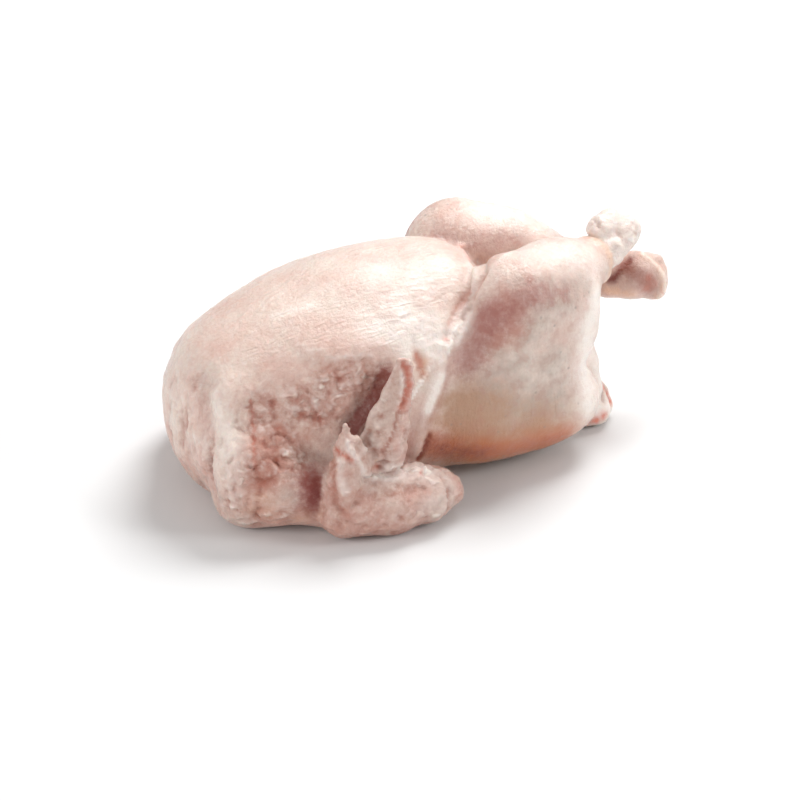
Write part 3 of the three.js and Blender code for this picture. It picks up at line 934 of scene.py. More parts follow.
# %% Moving the points
relief = folds + fine
moved_points = skin_points + skin_normals * (relief * off_table)[:, None]
moved_points[:, 2] = np.maximum(moved_points[:, 2], 0)
print(f"relief in all, from {relief.min():.1f} to {relief.max():.1f} mm")

# %% [markdown]
# ## Colour maps
#
# Raw chicken skin is thin and milky. Its colour is what lies beneath: pink muscle, cream fat, mauve
# muscle seen through stretched skin, and red where blood has stayed. Some maps also carry painted
# light: painted shade in creases, hollows and on the underside, painted highlights on the knee, the
# other drumstick's top, the forearm and the crests of wrinkles, and a painted warm reflection low on
# the thigh. The maps say how much of each there is, and the material turns them into colour. They
# could be painted by hand as vertex colours, but these keep their meaning and can be changed one at a
# time. In the sums, the number before a mark is how strongly it shows.

# %% Telling how far a map spreads
SHOWING = 0.3


def tell(name, values):
    print(f"{name} shows on {(values > SHOWING).mean():.1%} of the skin")


# %% Muscle that shows through on the body, and painted shade in its folds
BREAST_PINK = [(-66, -28, 92), (-87, -17, 86), (-72, -11, 93), (-56, -40, 91), (-80, -36, 82)]
BROWN_SIDE = [
    (-90, -50, 50), (-86, -54, 45), (-82, -55.5, 43.5), (-85, -57, 40.5), (-91, -57, 39),
    (-89.5, -59, 36), (-93, -58.5, 33), (-72.5, -54, 50.5), (-68, -55, 49.5), (-80, -51, 53),
]
PATCH_WARM = [(-31, -49, 87), (-27, -50, 85), (-24, -51, 81)]
LOBE_SHADE = [(-88, -62, 16), (-83, -62, 12), (-92, -60, 12)]
WEB_PINK = [(-12, -56.5, 47), (-14, -56.7, 45), (-16, -57, 41), (-18, -56.7, 35), (-19, -56, 29)]
meat_and_shade = 0.25 * spots(BREAST_PINK, 17) + 0.43 * crinkled + 0.6 * spots(BROWN_SIDE, 6)
# Painted shade under the flap's edge and low on the shoulder lobe.
meat_and_shade += 0.15 * flap_line + 0.35 * spots(PATCH_WARM, 4) + 0.5 * spots(LOBE_SHADE, 6)
# The web's edge is darkened with painted shade.
meat_and_shade += 0.5 * stroke(RIM_BROWN, 1.8) + 0.6 * flank_pit + 0.3 * web_edge
meat_and_shade += 0.4 * stroke(WEB_PINK, 4.5) * off_wing

# %% Muscle that shows through on the legs, with painted shade and a painted warm reflection
THIGH_UNDERSIDE = [
    (-5, -54.6, 30), (1, -53, 25), (8, -53, 22), (19, -54, 20), (30, -55, 18), (45, -55, 17),
    (62, -52, 18),
]
THIGH_RED = [
    (30, -49, 91), (34, -53, 88), (37, -55, 82), (32, -53.4, 76.5), (26, -51, 72), (22, -50, 68),
]
THIGH_BLUSH = [
    (24, -46.4, 83.8), (28, -47, 92.2), (33.5, -50, 95.4), (37.7, -53.8, 92), (34.7, -54.3, 82.4),
    (28.9, -51.5, 79.3),
]
ORANGE_STREAK = [(10, -41, 85), (15, -38, 87), (20, -34, 92), (23, -32, 95)]
HOCK_SHADE = [(112, -16, 98), (111, -18, 94), (120, -15, 98), (106, -20, 89)]
HOCK_TIP = [(98, -8, 102), (101, -10, 104)]
# Painted shade and a painted warm reflection under the thigh, where it meets the table; the mottling is
# the skin's own.
meat_and_shade += 0.7 * stroke(THIGH_UNDERSIDE, 6) + 0.3 * leg_share * above(mottle, 0.05, 0.35)
meat_and_shade += 0.4 * spots(THIGH_RED, 4.5) + 0.7 * spots(THIGH_BLUSH, 6)
# Painted shade in the creases between breast and thigh; the orange streak is the skin's own.
meat_and_shade += 0.5 * leg_line + 0.3 * leg_crease + 1.0 * stroke(ORANGE_STREAK, 2.8, both=False)
# Painted shade: the far hock lies in the near hock's shade, and the near hock darkens in its creases and
# on its shaded side.
meat_and_shade += 0.55 * far_hock + 0.3 * spots(HOCK_TIP, 3, both=False)
meat_and_shade += near_hock * (0.2 * spots(HOCK_SHADE, 3, both=False) + 0.25 * near_creases)

# %% Muscle that shows through on the wings, with painted shade in valleys and creases
WRIST_BROWN = WRIST_VALLEY + [(-57, -78, 17)]
WING_PINK = [(-26, -64, 79), (-29, -64, 76), (-55.5, -70, 54.5), (-50.6, -70, 48.5), (-48, -69, 43)]
# Painted shade down the wrist's valley; the pink spots on the wing are its own.
meat_and_shade += 0.7 * stroke(WRIST_BROWN, 2.6) + 0.35 * spots(WING_PINK, 3.5) * wing_share
# Painted shade in the elbow crease, between the forearm's bones, in the joint creases and in the hand's
# dips.
meat_and_shade += 0.5 * elbow_crease + 0.35 * bone_valley + 0.8 * seam_line + 0.9 * joint_creases + 0.3 * hand_dips
tell("muscle", meat_and_shade)

# %% [markdown]
# ** Mauve and crimson.** Leg muscle is darker than breast muscle, and it shows mauve where the skin
# is pulled tight over it, down the front of the thigh. Along the other drumstick, beside the wrist,
# in the neck hollow, round the hollow beside the wing and in the far hock's dish, the mauve is
# painted shade. Broad soft strokes have that blurred edge by themselves. The deepest folds get a
# deep red painted shade, since shadow alone would leave them grey.

# %% Mauve where skin is stretched over muscle, and mauve painted shade
MAUVE_BAND = [(45, -52, 98), (37, -52, 94), (30, -49.5, 90), (25, -47, 83), (20, -46, 76), (14, -49, 68)]
MAUVE_ENDS = [(56, -51, 96), (65, -49, 95), (24, -46, 88)]
FAR_MAUVE = [(31, 21, 100), (40, 15, 97), (46, 12, 94), (53, 12, 93), (60, 12, 95), (68, 10, 94)]
WRIST_MAUVE = [(-60, -57, 43.5), (-65, -57.6, 39), (-69, -60, 36.5), (-71, -63, 32)]
PURPLE_SIDE = [(-71, -63, 32), (-69.5, -66, 28), (-71, -67, 25), (-72, -67, 21)]

# Where the hollow beside the wing lies, and how close skin is to the hand: the places for painted shade.
hollow_share, near_hollow, against_hand = np.zeros((3, len(skin_points)))
for side in (RIGHT, LEFT):
    hollow_field = hollow(skin_points, side)
    hollow_share = np.maximum(hollow_share, share_of(np.abs(hollow_field), 1.2))
    near_hollow = np.maximum(near_hollow, share_of(hollow_field, 3.5))
    against_hand = np.maximum(against_hand, share_of(hand(wing_space(skin_points, side)), 7))
hollow_share *= body_share
near_hollow *= body_share

mauve_and_shade = 0.8 * stroke(MAUVE_BAND, 8.5) + 0.5 * spots(MAUVE_ENDS, 7)
# Painted shade along the other drumstick and in the far hock's dish.
mauve_and_shade += 0.55 * stroke(FAR_MAUVE, 7, both=False) + 0.6 * far_hock * stroke(FAR_DISH, 4.5, both=False)
# Painted shade in the neck hollow and round the hollow beside the wing; the web's pink is its own.
mauve_and_shade += 0.3 * neck_hollow + 0.15 * near_hollow + 0.25 * stroke(WEB_PINK, 4.5) * off_wing
# Painted shade beside the wrist.
mauve_and_shade += off_wing * (0.3 * stroke(WRIST_MAUVE, 6) + 0.9 * stroke(PURPLE_SIDE, 8))
tell("mauve_and_shade", mauve_and_shade)

# %% Crimson painted shade deep in the folds
RECESS_CORE = [
    (-29, -51.6, 71.5), (-32.5, -53, 65), (-37.7, -53.2, 58.6), (-43.3, -53.3, 52.5),
    (-47, -53.4, 48.5),
]
FAR_CRIMSON = [(122, -6.5, 80), (119, -7.5, 78), (116, -8, 75.3), (113, -8, 72), (110, -8, 71)]
SEAM_CRIMSON = [(-24.3, -66.7, 70), (-26.8, -67.4, 64.5), (-28, -67.8, 61)]
# Painted shade, deep red: in the hollow against the hand, the neck dimple, the thigh crease, beside the
# wrist, between the hocks, at the slot and under the thigh.
crimson_shade = 0.2 * hollow_share * against_hand + 0.6 * neck_dimple + 0.9 * thigh_crease
crimson_shade += off_wing * (1.3 * stroke(RECESS_CORE, 4.5) + 1.0 * stroke(PURPLE_SIDE, 6.0))
crimson_shade += 0.9 * far_hock * stroke(FAR_CRIMSON, 2.2, both=False) + 0.6 * spots(SEAM_CRIMSON, 1.2)
crimson_shade += 0.35 * stroke(THIGH_UNDERSIDE[:4], 5)
tell("crimson_shade", crimson_shade)

# %% [markdown]
# ** Fat and edges.** Skin is white or cream where fat lies close below it or where it is doubled, as
# on the flank, the web and the rims. The same map holds painted light too: painted highlights on the
# knee, the other drumstick's top, the web, the neck ridge, the flap's crests and the forearm's top,
# and a painted glow along the rear of the thigh. The marks that raised those rims and
# cords are used again here, so colour and relief stay together. Where the knife went round the
# hock, the skin rolled up and is peach-coloured, and the collar's own field gives that as an even
# band round each leg.

# %% Fat of the body and the legs, with painted highlights and a painted glow
WHITE_STREAK = [(-70, -14, 94), (-64, -16, 96), (-58, -18, 98), (-51, -18, 100)]
KNEE_HIGHLIGHT = [(60, -31, 107), (69, -34, 105), (79, -33, 101.5), (88, -29, 98)]
LEG_REAR_GLOW = [
    (88, -41, 84), (84, -45, 79), (78, -48, 73), (78, -50, 62), (80, -49, 50), (79, -49, 39),
    (77, -50, 32),
]
FAR_TOP_HIGHLIGHT = [(58, 25, 104), (66, 22, 103), (76, 17, 100), (86, 13, 96)]
VENT_FLAP = [(94, -22, 40), (98, -21, 34), (100, -20, 27)]
TAIL_WHITE = [(99, -25, 17), (99, -27, 13), (99, -28, 10), (103, -26, 10), (96, -28, 14), (108, -18, 9)]
fat_and_highlights = 0.7 * breast_fat + 0.9 * flank_fat * (1 - flank_pit) + 0.5 * spots(FLANK_WHITE, 5, both=False)
# The last stroke, on the web, is a painted highlight.
fat_and_highlights += 0.45 * stroke(WHITE_STREAK, 2.2, both=False) + 0.35 * web + 1.0 * stroke(WEB_HIGHLIGHT, 2.4)
# Painted highlights along the neck ridge and on the flap's crests.
fat_and_highlights += 0.4 * neck_ridge + 1.0 * threads + 0.35 * flap_crests + 0.6 * breast_rim
# A painted highlight on the knee and a painted glow along the thigh's rear edge.
fat_and_highlights += 0.4 * leg_edge + 0.5 * stroke(KNEE_HIGHLIGHT, 10) + 1.0 * stroke(LEG_REAR_GLOW, 7.5)
# A painted highlight along the other drumstick's top.
fat_and_highlights += 0.5 * stroke(FAR_TOP_HIGHLIGHT, 8, both=False)
fat_and_highlights += 0.9 * spots(VENT_FLAP, 7, both=False) + 1.2 * spots(TAIL_WHITE, 7, both=False)

# %% Fat of the wings, with a painted highlight on the forearm
FOREARM_TOP_HIGHLIGHT = [(-30, -70, 30), (-25, -70, 29), (-20, -70, 28)]
ELBOW_PALE = [(-12, -77, 14), (-8, -76, 24), (-14, -74, 27), (-4, -74, 24), (-20, -79, 16)]
fat_and_highlights += 1.0 * wing_fold + 0.9 * slot_lips + 0.35 * seam + 0.5 * hand_front + 0.5 * hand_bumps
fat_and_highlights += 0.5 * wrist_ridge + 0.8 * forearm_edge
# The forearm's top is painted lighter: a painted highlight.
fat_and_highlights += wing_share * (0.7 * spots(FOREARM_TOP_HIGHLIGHT, 4) + 0.5 * spots(ELBOW_PALE, 6))
tell("fat_and_highlights", fat_and_highlights)

# %% Peach-coloured edges
FAR_ORANGE = [(110, -7, 65), (114, -9, 63.5), (117, -10.7, 62.5), (120, -13, 63)]
FLANK_ORANGE = [(-7.5, -51.2, 74.5), (-7.3, -51.8, 72.6), (-8.8, -53, 70)]
LOW_PEACH = [(-95, -59, 25.5), (-97, -57, 19.5), (-92, -60, 18.7), (-73, -67, 18), (-76.6, -65, 14)]
collar_field = np.minimum(collar(skin_points, RIGHT), collar(skin_points, LEFT))
peach = 0.7 * share_of(collar_field, 1.2) + 0.9 * far_rim + 0.4 * flank_pit
peach += 0.9 * stroke(FAR_ORANGE, 3, both=False) + 0.6 * spots(FLANK_ORANGE, 1.3, both=False)
peach += 0.4 * spots(LOW_PEACH, 5)
tell("peach", peach)

# %% [markdown]
# Stretched thin over the thigh and the flat hand, the skin is milky grey; below the knee's painted
# highlight the grey is painted shade. Low on the thigh and along its front edge a tan is painted,
# standing for the warm light and shade that a wooden board would throw back there, and where the
# thigh meets the table a painted orange brown reflection is added. Skin that faces the table, and
# the low sides of the body, are painted duller and redder: painted shade under the bird.

# %% Grey, with painted shade below the knee
GREY_THIGH = [
    (43, -56, 80), (36, -56, 62), (55, -56, 61), (29, -55, 59), (43, -57, 46), (27, -52, 70),
    (58, -56, 45),
]
KNEE_GREY_SHADE = [(42, -48, 103), (50, -49, 102), (58, -49, 99), (66, -46, 97), (75, -44, 95), (56, -53, 92)]
KNEE_SIDE_GREY_SHADE = [(60, -50, 95.6), (70, -47, 93.4), (80, -42, 91), (84, -43.5, 81), (65.6, -51, 89)]
GREY_SIDE = [(-75, -55, 45), (-74, -58, 40), (-77, -61, 36), (-84, -64, 29), (-81, -65, 26)]
# The grey below the knee's painted highlight is painted shade.
milky_and_shade = 0.9 * spots(GREY_THIGH, 12) + 0.7 * spots(KNEE_GREY_SHADE, 6) + 0.6 * spots(KNEE_SIDE_GREY_SHADE, 7)
milky_and_shade += 0.4 * plate + 0.7 * spots(GREY_SIDE, 4)
milky_and_shade *= 1 + 0.8 * mottle * leg_share
tell("grey", milky_and_shade)

# %% Painted warm reflection and shade on the thigh
THIGH_FRONT = [
    (-8, -55, 45), (-4, -55, 44), (1, -54.5, 44), (-2, -54, 52), (3, -53.5, 52), (6, -54.5, 43),
    (-11, -55.5, 38),
]
# Painted warm reflection and shade, lower on the thigh and at its front edge.
painted_warm_reflection = leg_share * above(-z - 0.45 * x, -78, 22) * above(-x, -84, 34)
painted_warm_reflection += 0.7 * spots(THIGH_FRONT, 4.5) * off_wing
# Painted orange reflection under the thigh and painted shade in the thigh crease; the side's own brown
# comes in lightly.
orange_reflection = stroke(THIGH_UNDERSIDE, 9) + 0.15 * spots(BROWN_SIDE, 5) + 0.5 * thigh_crease
tell("painted_warm_reflection", painted_warm_reflection)
tell("orange brown", orange_reflection)

# %% Painted shade on the underside
# Painted shade: skin facing the table and the low sides are painted duller and redder, less on the legs,
# the tail end and the elbow.
facing_down = above(-skin_normals[:, 2], -0.3, 0.9)
low_side = above(-z, -52, 40) * above(np.abs(y), 48, 12)
elbow_end = wing_share * above(x, -26, 14)
underside_shade = (0.6 * facing_down + 0.5 * low_side) * (1 - 0.6 * leg_share) * off_hock
underside_shade *= (1 - above(x, 78, 10)) * (1 - 0.8 * elbow_end)
tell("settled blood", underside_shade)

# %% [markdown]
# Fresh blood is bright and there is little of it: in the raw slot of the hand, the nick of the
# thumb, the cut edges of the tail and a few single dots. Thin strokes keep it small.

# %% Fresh blood
ELBOW_RED = [(-2, -71, 21), (1, -73, 18), (0, -76, 15)]
RED_DOTS = [(-20, -72, 28), (6, -45, 81), (-41, -69, 35)]
SEAM_FLUSH = [(-22, -65, 79), (-22, -66, 72), (-25, -68, 58), (-31, -70, 44)]
FAR_RED = [(128.7, -15.4, 71.7), (130.8, -16, 67.7), (127.7, -15.6, 65.4)]
TAIL_RED = [(103, -19, 19), (105.5, -20, 14), (107, -21, 10), (97.8, -29, 8), (95, -29, 6), (93, -29, 6)]
blood = slot * (0.75 + 0.25 * mottle) + 0.3 * stroke(SEAM_FLUSH, 2.4) + 0.8 * thumb_cut
blood += 0.2 * crinkled * puckers + 0.7 * spots(RED_DOTS, 1.4) + 0.3 * spots(ELBOW_RED, 3)
blood += 0.35 * stroke(FLANK_PIT, 1.5, both=False) + 0.5 * stroke(BREAST_RIM[:3], 1.6, both=False)
blood += 0.35 * stroke(NECK_LINE, 0.7, both=False)
blood += 0.3 * spots(FAR_RED, 2.6, both=False) + 1.0 * spots(TAIL_RED, 2.6, both=False)
tell("fresh blood", blood)

# %% [markdown]
# The last maps come from the relief itself. What is low gets painted shade, what stands out gets a
# painted highlight, and three maps say which kind of fine wrinkle the shader draws where.

# %% All maps together
maps = {"meat_and_shade": meat_and_shade, "mauve_and_shade": mauve_and_shade, "crimson_shade": crimson_shade, "fat_and_highlights": fat_and_highlights, "peach": peach, "blood": blood}
maps |= {"milky_and_shade": milky_and_shade, "painted_warm_reflection": painted_warm_reflection, "orange_reflection": orange_reflection, "underside_shade": underside_shade}
# The far hock keeps little of the gristle's white, as part of the painted shade that it lies in.
maps["bare"] = bare_hock * (1 - 0.85 * far_hock)
maps["pored"] = leg_share * (1 - fat_and_highlights.clip(0, 1))
# Painted shade where the fine relief is low, and painted highlights where it stands out.
maps["dips"] = above(-fine, 0.1, 1.4) * (1 - 0.4 * near_hock - 0.3 * wing_share)
maps["crests"] = above(fine, 0.1, 1.1)
maps["crinkled"] = 0.6 * crinkled + 0.35 * wing_share + 0.3 * lobe
maps["crinkled"] += 0.25 * near_hock + 0.15 * rear_breast
maps["lengthwise"] = breast_share * (1 - crinkled)
maps["upright"] = np.maximum(neck_skin, 0.5 * leg_share + 0.5 * side_wrinkles)
maps = {name: np.clip(values, 0, 1) for name, values in maps.items()}
print(f"{len(maps)} maps:", ", ".join(maps))

# %% [markdown]
# ## The mesh
#
# The net becomes a Blender mesh in one go from its arrays. The drawing is centred on the frame's
# middle, as the solid is, and stands at its lowest plane.

# %% The skin object
DRAWN_MIDDLE = np.array([12.75, 0, 0])
foot = np.array([(low[0] + high[0]) / 2, (low[1] + high[1]) / 2, low[2]])
placed = (moved_points - DRAWN_MIDDLE) * MM + foot

skin_mesh = bpy.data.meshes.new("chicken_skin")
skin_mesh.from_pydata(placed.tolist(), [], skin_faces.tolist())
skin_mesh.shade_smooth()
for name, values in maps.items():
    layer = skin_mesh.attributes.new(name, "FLOAT", "POINT")
    layer.data.foreach_set("value", values.astype(np.float32))
skin = bpy.data.objects.new("chicken_skin", skin_mesh)
bpy.context.scene.collection.objects.link(skin)
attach(skin, "root")
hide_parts("chicken")
print(f"{len(skin_mesh.polygons) * 2} triangles; box, mm:", np.round(np.ptp(placed, axis=0) * 1000, 1))

# %% [markdown]
# ## Wet raw skin
#
# Poultry skin is collagen and fat, about a millimetre thick, over wet muscle. Light goes in, comes
# back pink and softens every edge, so the base scatters light below its surface, red furthest. A
# film of water gives small sharp highlights over a duller skin. Fat shows cream, muscle pink or
# mauve, and each feather pit is a pale dot. Painted shade, painted highlights and a painted warm
# reflection come in through the same maps.


# %% Helpers for materials
def linear(hex_colour):
    """An sRGB hex colour as the linear RGBA that shaders use."""
    channels = [int(hex_colour[i : i + 2], 16) / 255 for i in (1, 3, 5)]
    low_part = [c / 12.92 for c in channels]
    high_part = [((c + 0.055) / 1.055) ** 2.4 for c in channels]
    return tuple(h if c > 0.04045 else l for c, l, h in zip(channels, low_part, high_part)) + (1.0,)


def add(tree, kind, inputs=None, out=0, **settings):
    """Adds one node, sets or links its inputs, and gives back one of its outputs."""
    node = tree.nodes.new(kind)
    for name, value in settings.items():
        setattr(node, name, value)
    for name, value in (inputs or {}).items():
        if isinstance(value, bpy.types.NodeSocket):
            tree.links.new(value, node.inputs[name])
        else:
            node.inputs[name].default_value = value
    return None if out is None else node.outputs[out]


def per_metre(millimetres):
    """A texture's scale, where one of its features is this long."""
    return 1 / (millimetres * MM)


# %% Colours
CREAM = linear("#e4d3c7")  # skin over fat
PINK = linear("#dcbcb0")  # skin over muscle
MUSCLE_AND_SHADE = linear("#bc7c6a")  # muscle close below the skin, and painted shade under the bird and in creases
VIOLET = linear("#9e5e56")  # dark leg muscle behind stretched skin, and painted shade in hollows and on the far drumstick
CRIMSON = linear("#742218")  # painted shade deep in folds and hollows
FAT_AND_HIGHLIGHT = linear("#fbf1e9")  # fat and skin swollen with water, and painted highlights
PEACH = linear("#ecc4a8")  # the skin's own rolled and cut edges
MILK = linear("#b8a99e")  # tight skin with nothing pale behind it, and painted shade below the knee
TAN = linear("#b68a6a")  # painted warm reflection and shade low on the thigh
RUST = linear("#c2621e")  # painted orange reflection under the thigh
BLOOD = linear("#d97259")  # fresh blood, thinned with water
DIP_SHADE_BROWN = linear("#9a5540")  # painted shade in the dips of wrinkles
PORE = linear("#93867f")  # the stub of a dark feather
BONE = linear("#fdf4ec")  # gristle of the bare hocks

wet_skin = bpy.data.materials.new("wet_raw_skin")
wet_skin.use_nodes = True
tree = wet_skin.node_tree
tree.nodes.clear()

# %% Clouds, specks and dots
# Width in mm, detail and roughness of blots of pink, of specks, of finer specks and of the grain
NOISES = [(17, 7.0, 0.6), (3.2, 5.0, 0.62), (1.7, 3.0, 0.6), (1.6, 4.0, 0.65)]
# Feather pits lie 3 to 4 mm apart, and every few of them hold a dark stub
PIT_SPACING = 3.6
PORE_SPACING = 8
place = add(tree, "ShaderNodeTexCoord", out="Object")
noises = []
for width, detail, roughness in NOISES:
    inputs = {"Vector": place, "Scale": per_metre(width), "Detail": detail, "Roughness": roughness}
    noises.append(add(tree, "ShaderNodeTexNoise", inputs))
clouds, specks, fine_specks, fine_grain = noises


def dotted(spacing, inner, outer, strength):
    """A dot in each cell of the spacing, fading out between two shares of the cell."""
    cells = {"Vector": place, "Scale": per_metre(spacing)}
    gap = add(tree, "ShaderNodeTexVoronoi", cells, out="Distance")
    fade = {"Value": gap, "From Min": inner, "From Max": outer, "To Min": strength, "To Max": 0.0}
    return add(tree, "ShaderNodeMapRange", fade)


pit = dotted(PIT_SPACING, 0.05, 0.2, 1.0)
pore = dotted(PORE_SPACING, 0.04, 0.13, 0.5)


# %% Mottled pink and cream
def tinted(below, amount, share, tint):
    """Lays a tint over the colour, by a share of the amount."""
    part = add(tree, "ShaderNodeMath", {0: amount, 1: share}, operation="MULTIPLY")
    return add(tree, "ShaderNodeMix", {0: part, 6: below, 7: tint}, out=2, data_type="RGBA")


MOTTLES = [
    (clouds, 0.3, 0.75, 1.0, PINK),
    (fine_specks, 0.5, 0.72, 0.2, FAT_AND_HIGHLIGHT),
    (fine_specks, 0.5, 0.3, 0.14, MUSCLE_AND_SHADE),
]
colour = CREAM
for blots, start, end, share, tint in MOTTLES:
    span = {"Value": blots, "From Min": start, "From Max": end}
    patch = add(tree, "ShaderNodeMapRange", span, interpolation_type="SMOOTHSTEP")
    colour = tinted(colour, patch, share, tint)
colour = tinted(colour, pit, 0.2, FAT_AND_HIGHLIGHT)

# %% [markdown]
# Each map is laid over the colour in turn, what lies deepest first. A map alone would end in an
# airbrushed edge, so its edge is made ragged by the same specks that mottle the skin.

# %% One layer for each map
# An edge strays by this share of the full amount, fully from a third of that amount on
RAGGED = 0.22
CORE = 3.0
# Some layers are painted light: painted shade under the bird and in folds, hollows and dips, a painted
# warm and orange reflection low on the thigh, and painted highlights on crests, the knee and the forearm.
LAYERS = [
    ("underside_shade", MUSCLE_AND_SHADE, clouds, 0.6),
    ("painted_warm_reflection", TAN, clouds, 0.85),
    ("milky_and_shade", MILK, specks, 0.7),
    ("orange_reflection", RUST, clouds, 0.9),
    ("meat_and_shade", MUSCLE_AND_SHADE, specks, 0.7),
    ("mauve_and_shade", VIOLET, specks, 0.8),
    ("fat_and_highlights", FAT_AND_HIGHLIGHT, specks, 0.85),
    ("bare", BONE, specks, 0.9),
    ("peach", PEACH, specks, 0.8),
    ("crimson_shade", CRIMSON, specks, 0.9),
    ("dips", DIP_SHADE_BROWN, specks, 0.62),
    ("crests", FAT_AND_HIGHLIGHT, specks, 0.7),
    ("blood", BLOOD, specks, 0.85),
]
amount_of = {name: add(tree, "ShaderNodeAttribute", out="Fac", attribute_name=name) for name in maps}


def layered(below, amount, tint, grain, strength):
    """Lays a tint over the colour by the amount, with a ragged edge from the grain."""
    spread = {"Value": grain, "From Min": 0.3, "From Max": 0.7, "To Min": -RAGGED, "To Max": RAGGED}
    ragged = add(tree, "ShaderNodeMapRange", spread)
    held = add(tree, "ShaderNodeMath", {0: amount, 1: CORE}, operation="MULTIPLY", use_clamp=True)
    fray = add(tree, "ShaderNodeMath", {0: ragged, 1: held}, operation="MULTIPLY")
    edge = add(tree, "ShaderNodeMath", {0: amount, 1: fray}, operation="ADD", use_clamp=True)
    return tinted(below, edge, strength, tint)


for name, tint, grain, strength in LAYERS:
    colour = layered(colour, amount_of[name], tint, grain, strength)

colour = tinted(colour, pore, amount_of["pored"], PORE)
print(f"{len(LAYERS)} layers of colour, in {len(tree.nodes)} nodes")

# %% [markdown]
# Below the net's own step, wrinkles are drawn by the shader. Ridged noise makes thin crests with
# wide dips, as skin does when it gathers. One is even all round, one is drawn out along the body
# and one is drawn out from top to bottom, and the maps say where each shows.

# %% Fine wrinkles
WRINKLES = {
    "crinkled": (4.4, (0.7, 1, 1), 1.0),
    "lengthwise": (3.4, (0.35, 1, 1), 0.25),
    "upright": (3.4, (1, 1, 0.2), 0.25),
}
ridges = {}
lines = 0.0
for name, (size, stretch, share) in WRINKLES.items():
    where = add(tree, "ShaderNodeMapping", {"Vector": place, "Scale": stretch})
    shape = {"Vector": where, "Scale": per_metre(size), "Detail": 3.0, "Roughness": 0.5, "Distortion": 0.6}
    kind = {"noise_type": "RIDGED_MULTIFRACTAL", "normalize": True}
    ridges[name] = add(tree, "ShaderNodeTexNoise", shape, **kind)
    shown = add(tree, "ShaderNodeMath", {0: ridges[name], 1: amount_of[name]}, operation="MULTIPLY")
    lines = add(tree, "ShaderNodeMath", {0: shown, 1: share, 2: lines}, operation="MULTIPLY_ADD")

# %% Painted highlights on the crests and painted shade in the dips of the gathered skin
CREST_HIGHLIGHT = {"From Min": 0.5, "From Max": 0.85, "To Max": 0.9}
DIP_SHADE = {"From Min": 0.4, "From Max": 0.15, "To Max": 1.1}
for span, tint, strength in ((CREST_HIGHLIGHT, FAT_AND_HIGHLIGHT, 0.8), (DIP_SHADE, DIP_SHADE_BROWN, 0.7)):
    height = add(tree, "ShaderNodeMapRange", {"Value": ridges["crinkled"], **span})
    shown = add(tree, "ShaderNodeMath", {0: height, 1: amount_of["crinkled"]}, operation="MULTIPLY")
    colour = layered(colour, shown, tint, specks, strength)

# %% Feather pits, grain and the shader
BUMPS = [(pit, 0.00012, 0.6), (lines, 0.003, 0.9), (fine_grain, 0.0008, 0.8)]
bump = None
for height, distance, strength in BUMPS:
    inputs = {"Height": height, "Distance": distance, "Strength": strength}
    bump = add(tree, "ShaderNodeBump", inputs if bump is None else inputs | {"Normal": bump})
sheen = {"Value": specks, "From Min": 0.3, "From Max": 0.7, "To Min": 0.3, "To Max": 0.5}
rough = add(tree, "ShaderNodeMapRange", sheen)

# Skin and fat bend light by about 1.42, and the film of water on them bends it by 1.33. Red light
# travels more than twice as far inside as green or blue.
shader = {
    "Base Color": colour,
    "Roughness": rough,
    "Normal": bump,
    "IOR": 1.42,
    "Subsurface Weight": 0.22,
    "Subsurface Radius": (1.0, 0.4, 0.25),
    "Subsurface Scale": 0.0014,
    "Coat Weight": 0.55,
    "Coat Roughness": 0.12,
    "Coat IOR": 1.33,
    "Coat Normal": bump,
}
surface = add(tree, "ShaderNodeBsdfPrincipled", shader)
add(tree, "ShaderNodeOutputMaterial", {"Surface": surface}, out=None)
skin_mesh.materials.append(wet_skin)
print(f"wet raw skin has {len(tree.nodes)} nodes")

# %% [markdown]
# ## Floor, light and camera
#
# The bird lies in a bright studio: a pale floor, pale walls all round, a broad lamp behind it and a
# weaker one in front. The camera looks down at it from its right side, with a long lens.

# %% Floor
FLOOR_HALF = 2.5
floor_mesh = bpy.data.meshes.new("floor")
signs = [(-1, -1), (1, -1), (1, 1), (-1, 1)]
corners = [(a * FLOOR_HALF, b * FLOOR_HALF, low[2]) for a, b in signs]
floor_mesh.from_pydata(corners, [], [(0, 1, 2, 3)])
floor = bpy.data.objects.new("floor", floor_mesh)
bpy.context.scene.collection.objects.link(floor)
floor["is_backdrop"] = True

pale_paint = bpy.data.materials.new("pale_matt_paint")
pale_paint.use_nodes = True
paint = pale_paint.node_tree
paint.nodes.clear()
paint_place = add(paint, "ShaderNodeTexCoord", out="Object")
paint_clouds = add(paint, "ShaderNodeTexNoise", {"Vector": paint_place, "Scale": 3.0})
paint_mix = {0: paint_clouds, 6: linear("#e6e6e6"), 7: linear("#e2e2e2")}
paint_colour = add(paint, "ShaderNodeMix", paint_mix, out=2, data_type="RGBA")
paint_shader = add(paint, "ShaderNodeBsdfPrincipled", {"Base Color": paint_colour, "Roughness": 0.7})
add(paint, "ShaderNodeOutputMaterial", {"Surface": paint_shader}, out=None)
floor_mesh.materials.append(pale_paint)

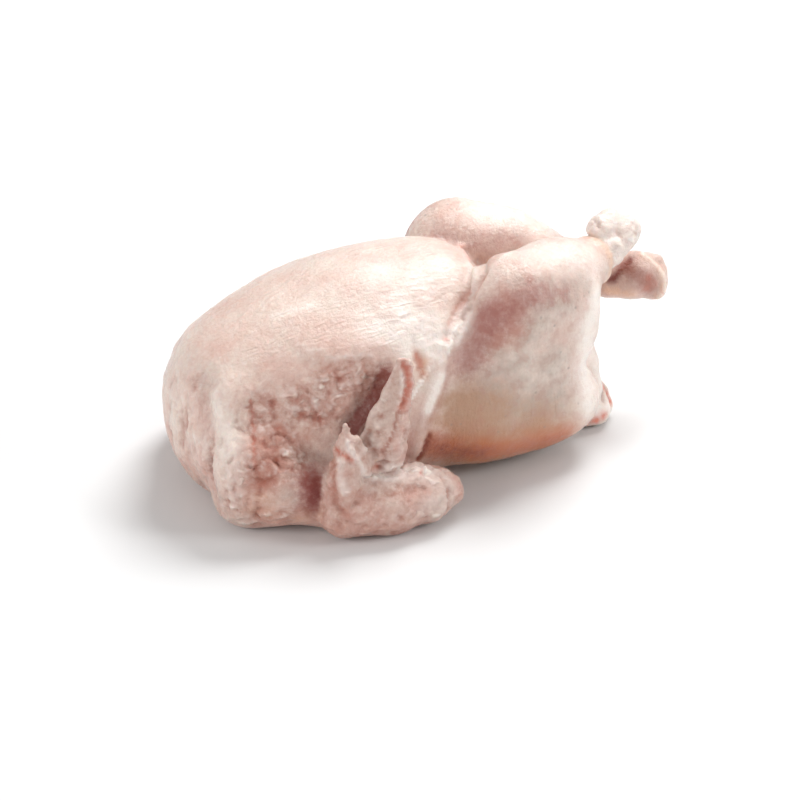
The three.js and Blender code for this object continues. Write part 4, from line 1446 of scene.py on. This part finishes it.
# %% Light
WALL_GLOW = 0.43
LAMPS_AIM = Vector((0, 0, 0.05))
world = bpy.data.worlds.new("studio")
bpy.context.scene.world = world
world.use_nodes = True
walls = world.node_tree.nodes["Background"]
walls.inputs["Color"].default_value = linear("#ffffff")
walls.inputs["Strength"].default_value = WALL_GLOW
bpy.context.scene.view_settings.view_transform = "Standard"


def lamp(name, place, size, watts):
    light = bpy.data.lights.new(name, "AREA")
    light.shape = "DISK"
    light.size = size
    light.energy = watts
    thing = bpy.data.objects.new(name, light)
    thing.location = place
    thing.rotation_euler = (LAMPS_AIM - Vector(place)).to_track_quat("-Z", "Y").to_euler()
    bpy.context.scene.collection.objects.link(thing)


lamp("key", (0.6, 0.45, 1.25), 0.8, 20)
lamp("front fill", (0.95, -0.9, 0.8), 0.5, 6.5)
lamp("side fill", (-1.25, -0.3, 0.65), 0.6, 7)

# %% Camera
VIEW_TURN = math.radians(24)
VIEW_HEIGHT = math.radians(30)
LENS = 130.0
SENSOR = 36.0
PICTURE = 800
PIXELS_PER_DRAWN_MM = 2.04
DRAWN_ORIGIN_AT = (397, 444)

right = Vector((math.cos(VIEW_TURN), -math.sin(VIEW_TURN), 0))
away = Vector((-math.sin(VIEW_TURN), -math.cos(VIEW_TURN), 0)) * math.cos(VIEW_HEIGHT)
away.z = math.sin(VIEW_HEIGHT)
up = away.cross(right)
distance = LENS / SENSOR * PICTURE / PIXELS_PER_DRAWN_MM
aside = (PICTURE / 2 - DRAWN_ORIGIN_AT[0]) / PIXELS_PER_DRAWN_MM
above_origin = (DRAWN_ORIGIN_AT[1] - PICTURE / 2) / PIXELS_PER_DRAWN_MM
drawn_eye = right * aside + up * above_origin + away * distance
camera_data = bpy.data.cameras.new("camera")
camera_data.lens = LENS
camera_data.sensor_width = SENSOR
camera = bpy.data.objects.new("camera", camera_data)
eye = Vector(foot) + (drawn_eye - Vector(DRAWN_MIDDLE)) * MM
camera.matrix_world = Matrix.Translation(eye) @ Matrix((right, up, away)).transposed().to_4x4()
bpy.context.scene.collection.objects.link(camera)
bpy.context.scene.camera = camera
print("the camera stands", round(distance * MM, 3), "m away")

# %% Sizes and finish
visual_box = [list(corner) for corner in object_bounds()]
past_cad = np.round((np.array(visual_box) - np.array(cad_box)) * 1000, 1)
print("visual model against CAD, mm:", past_cad.tolist())
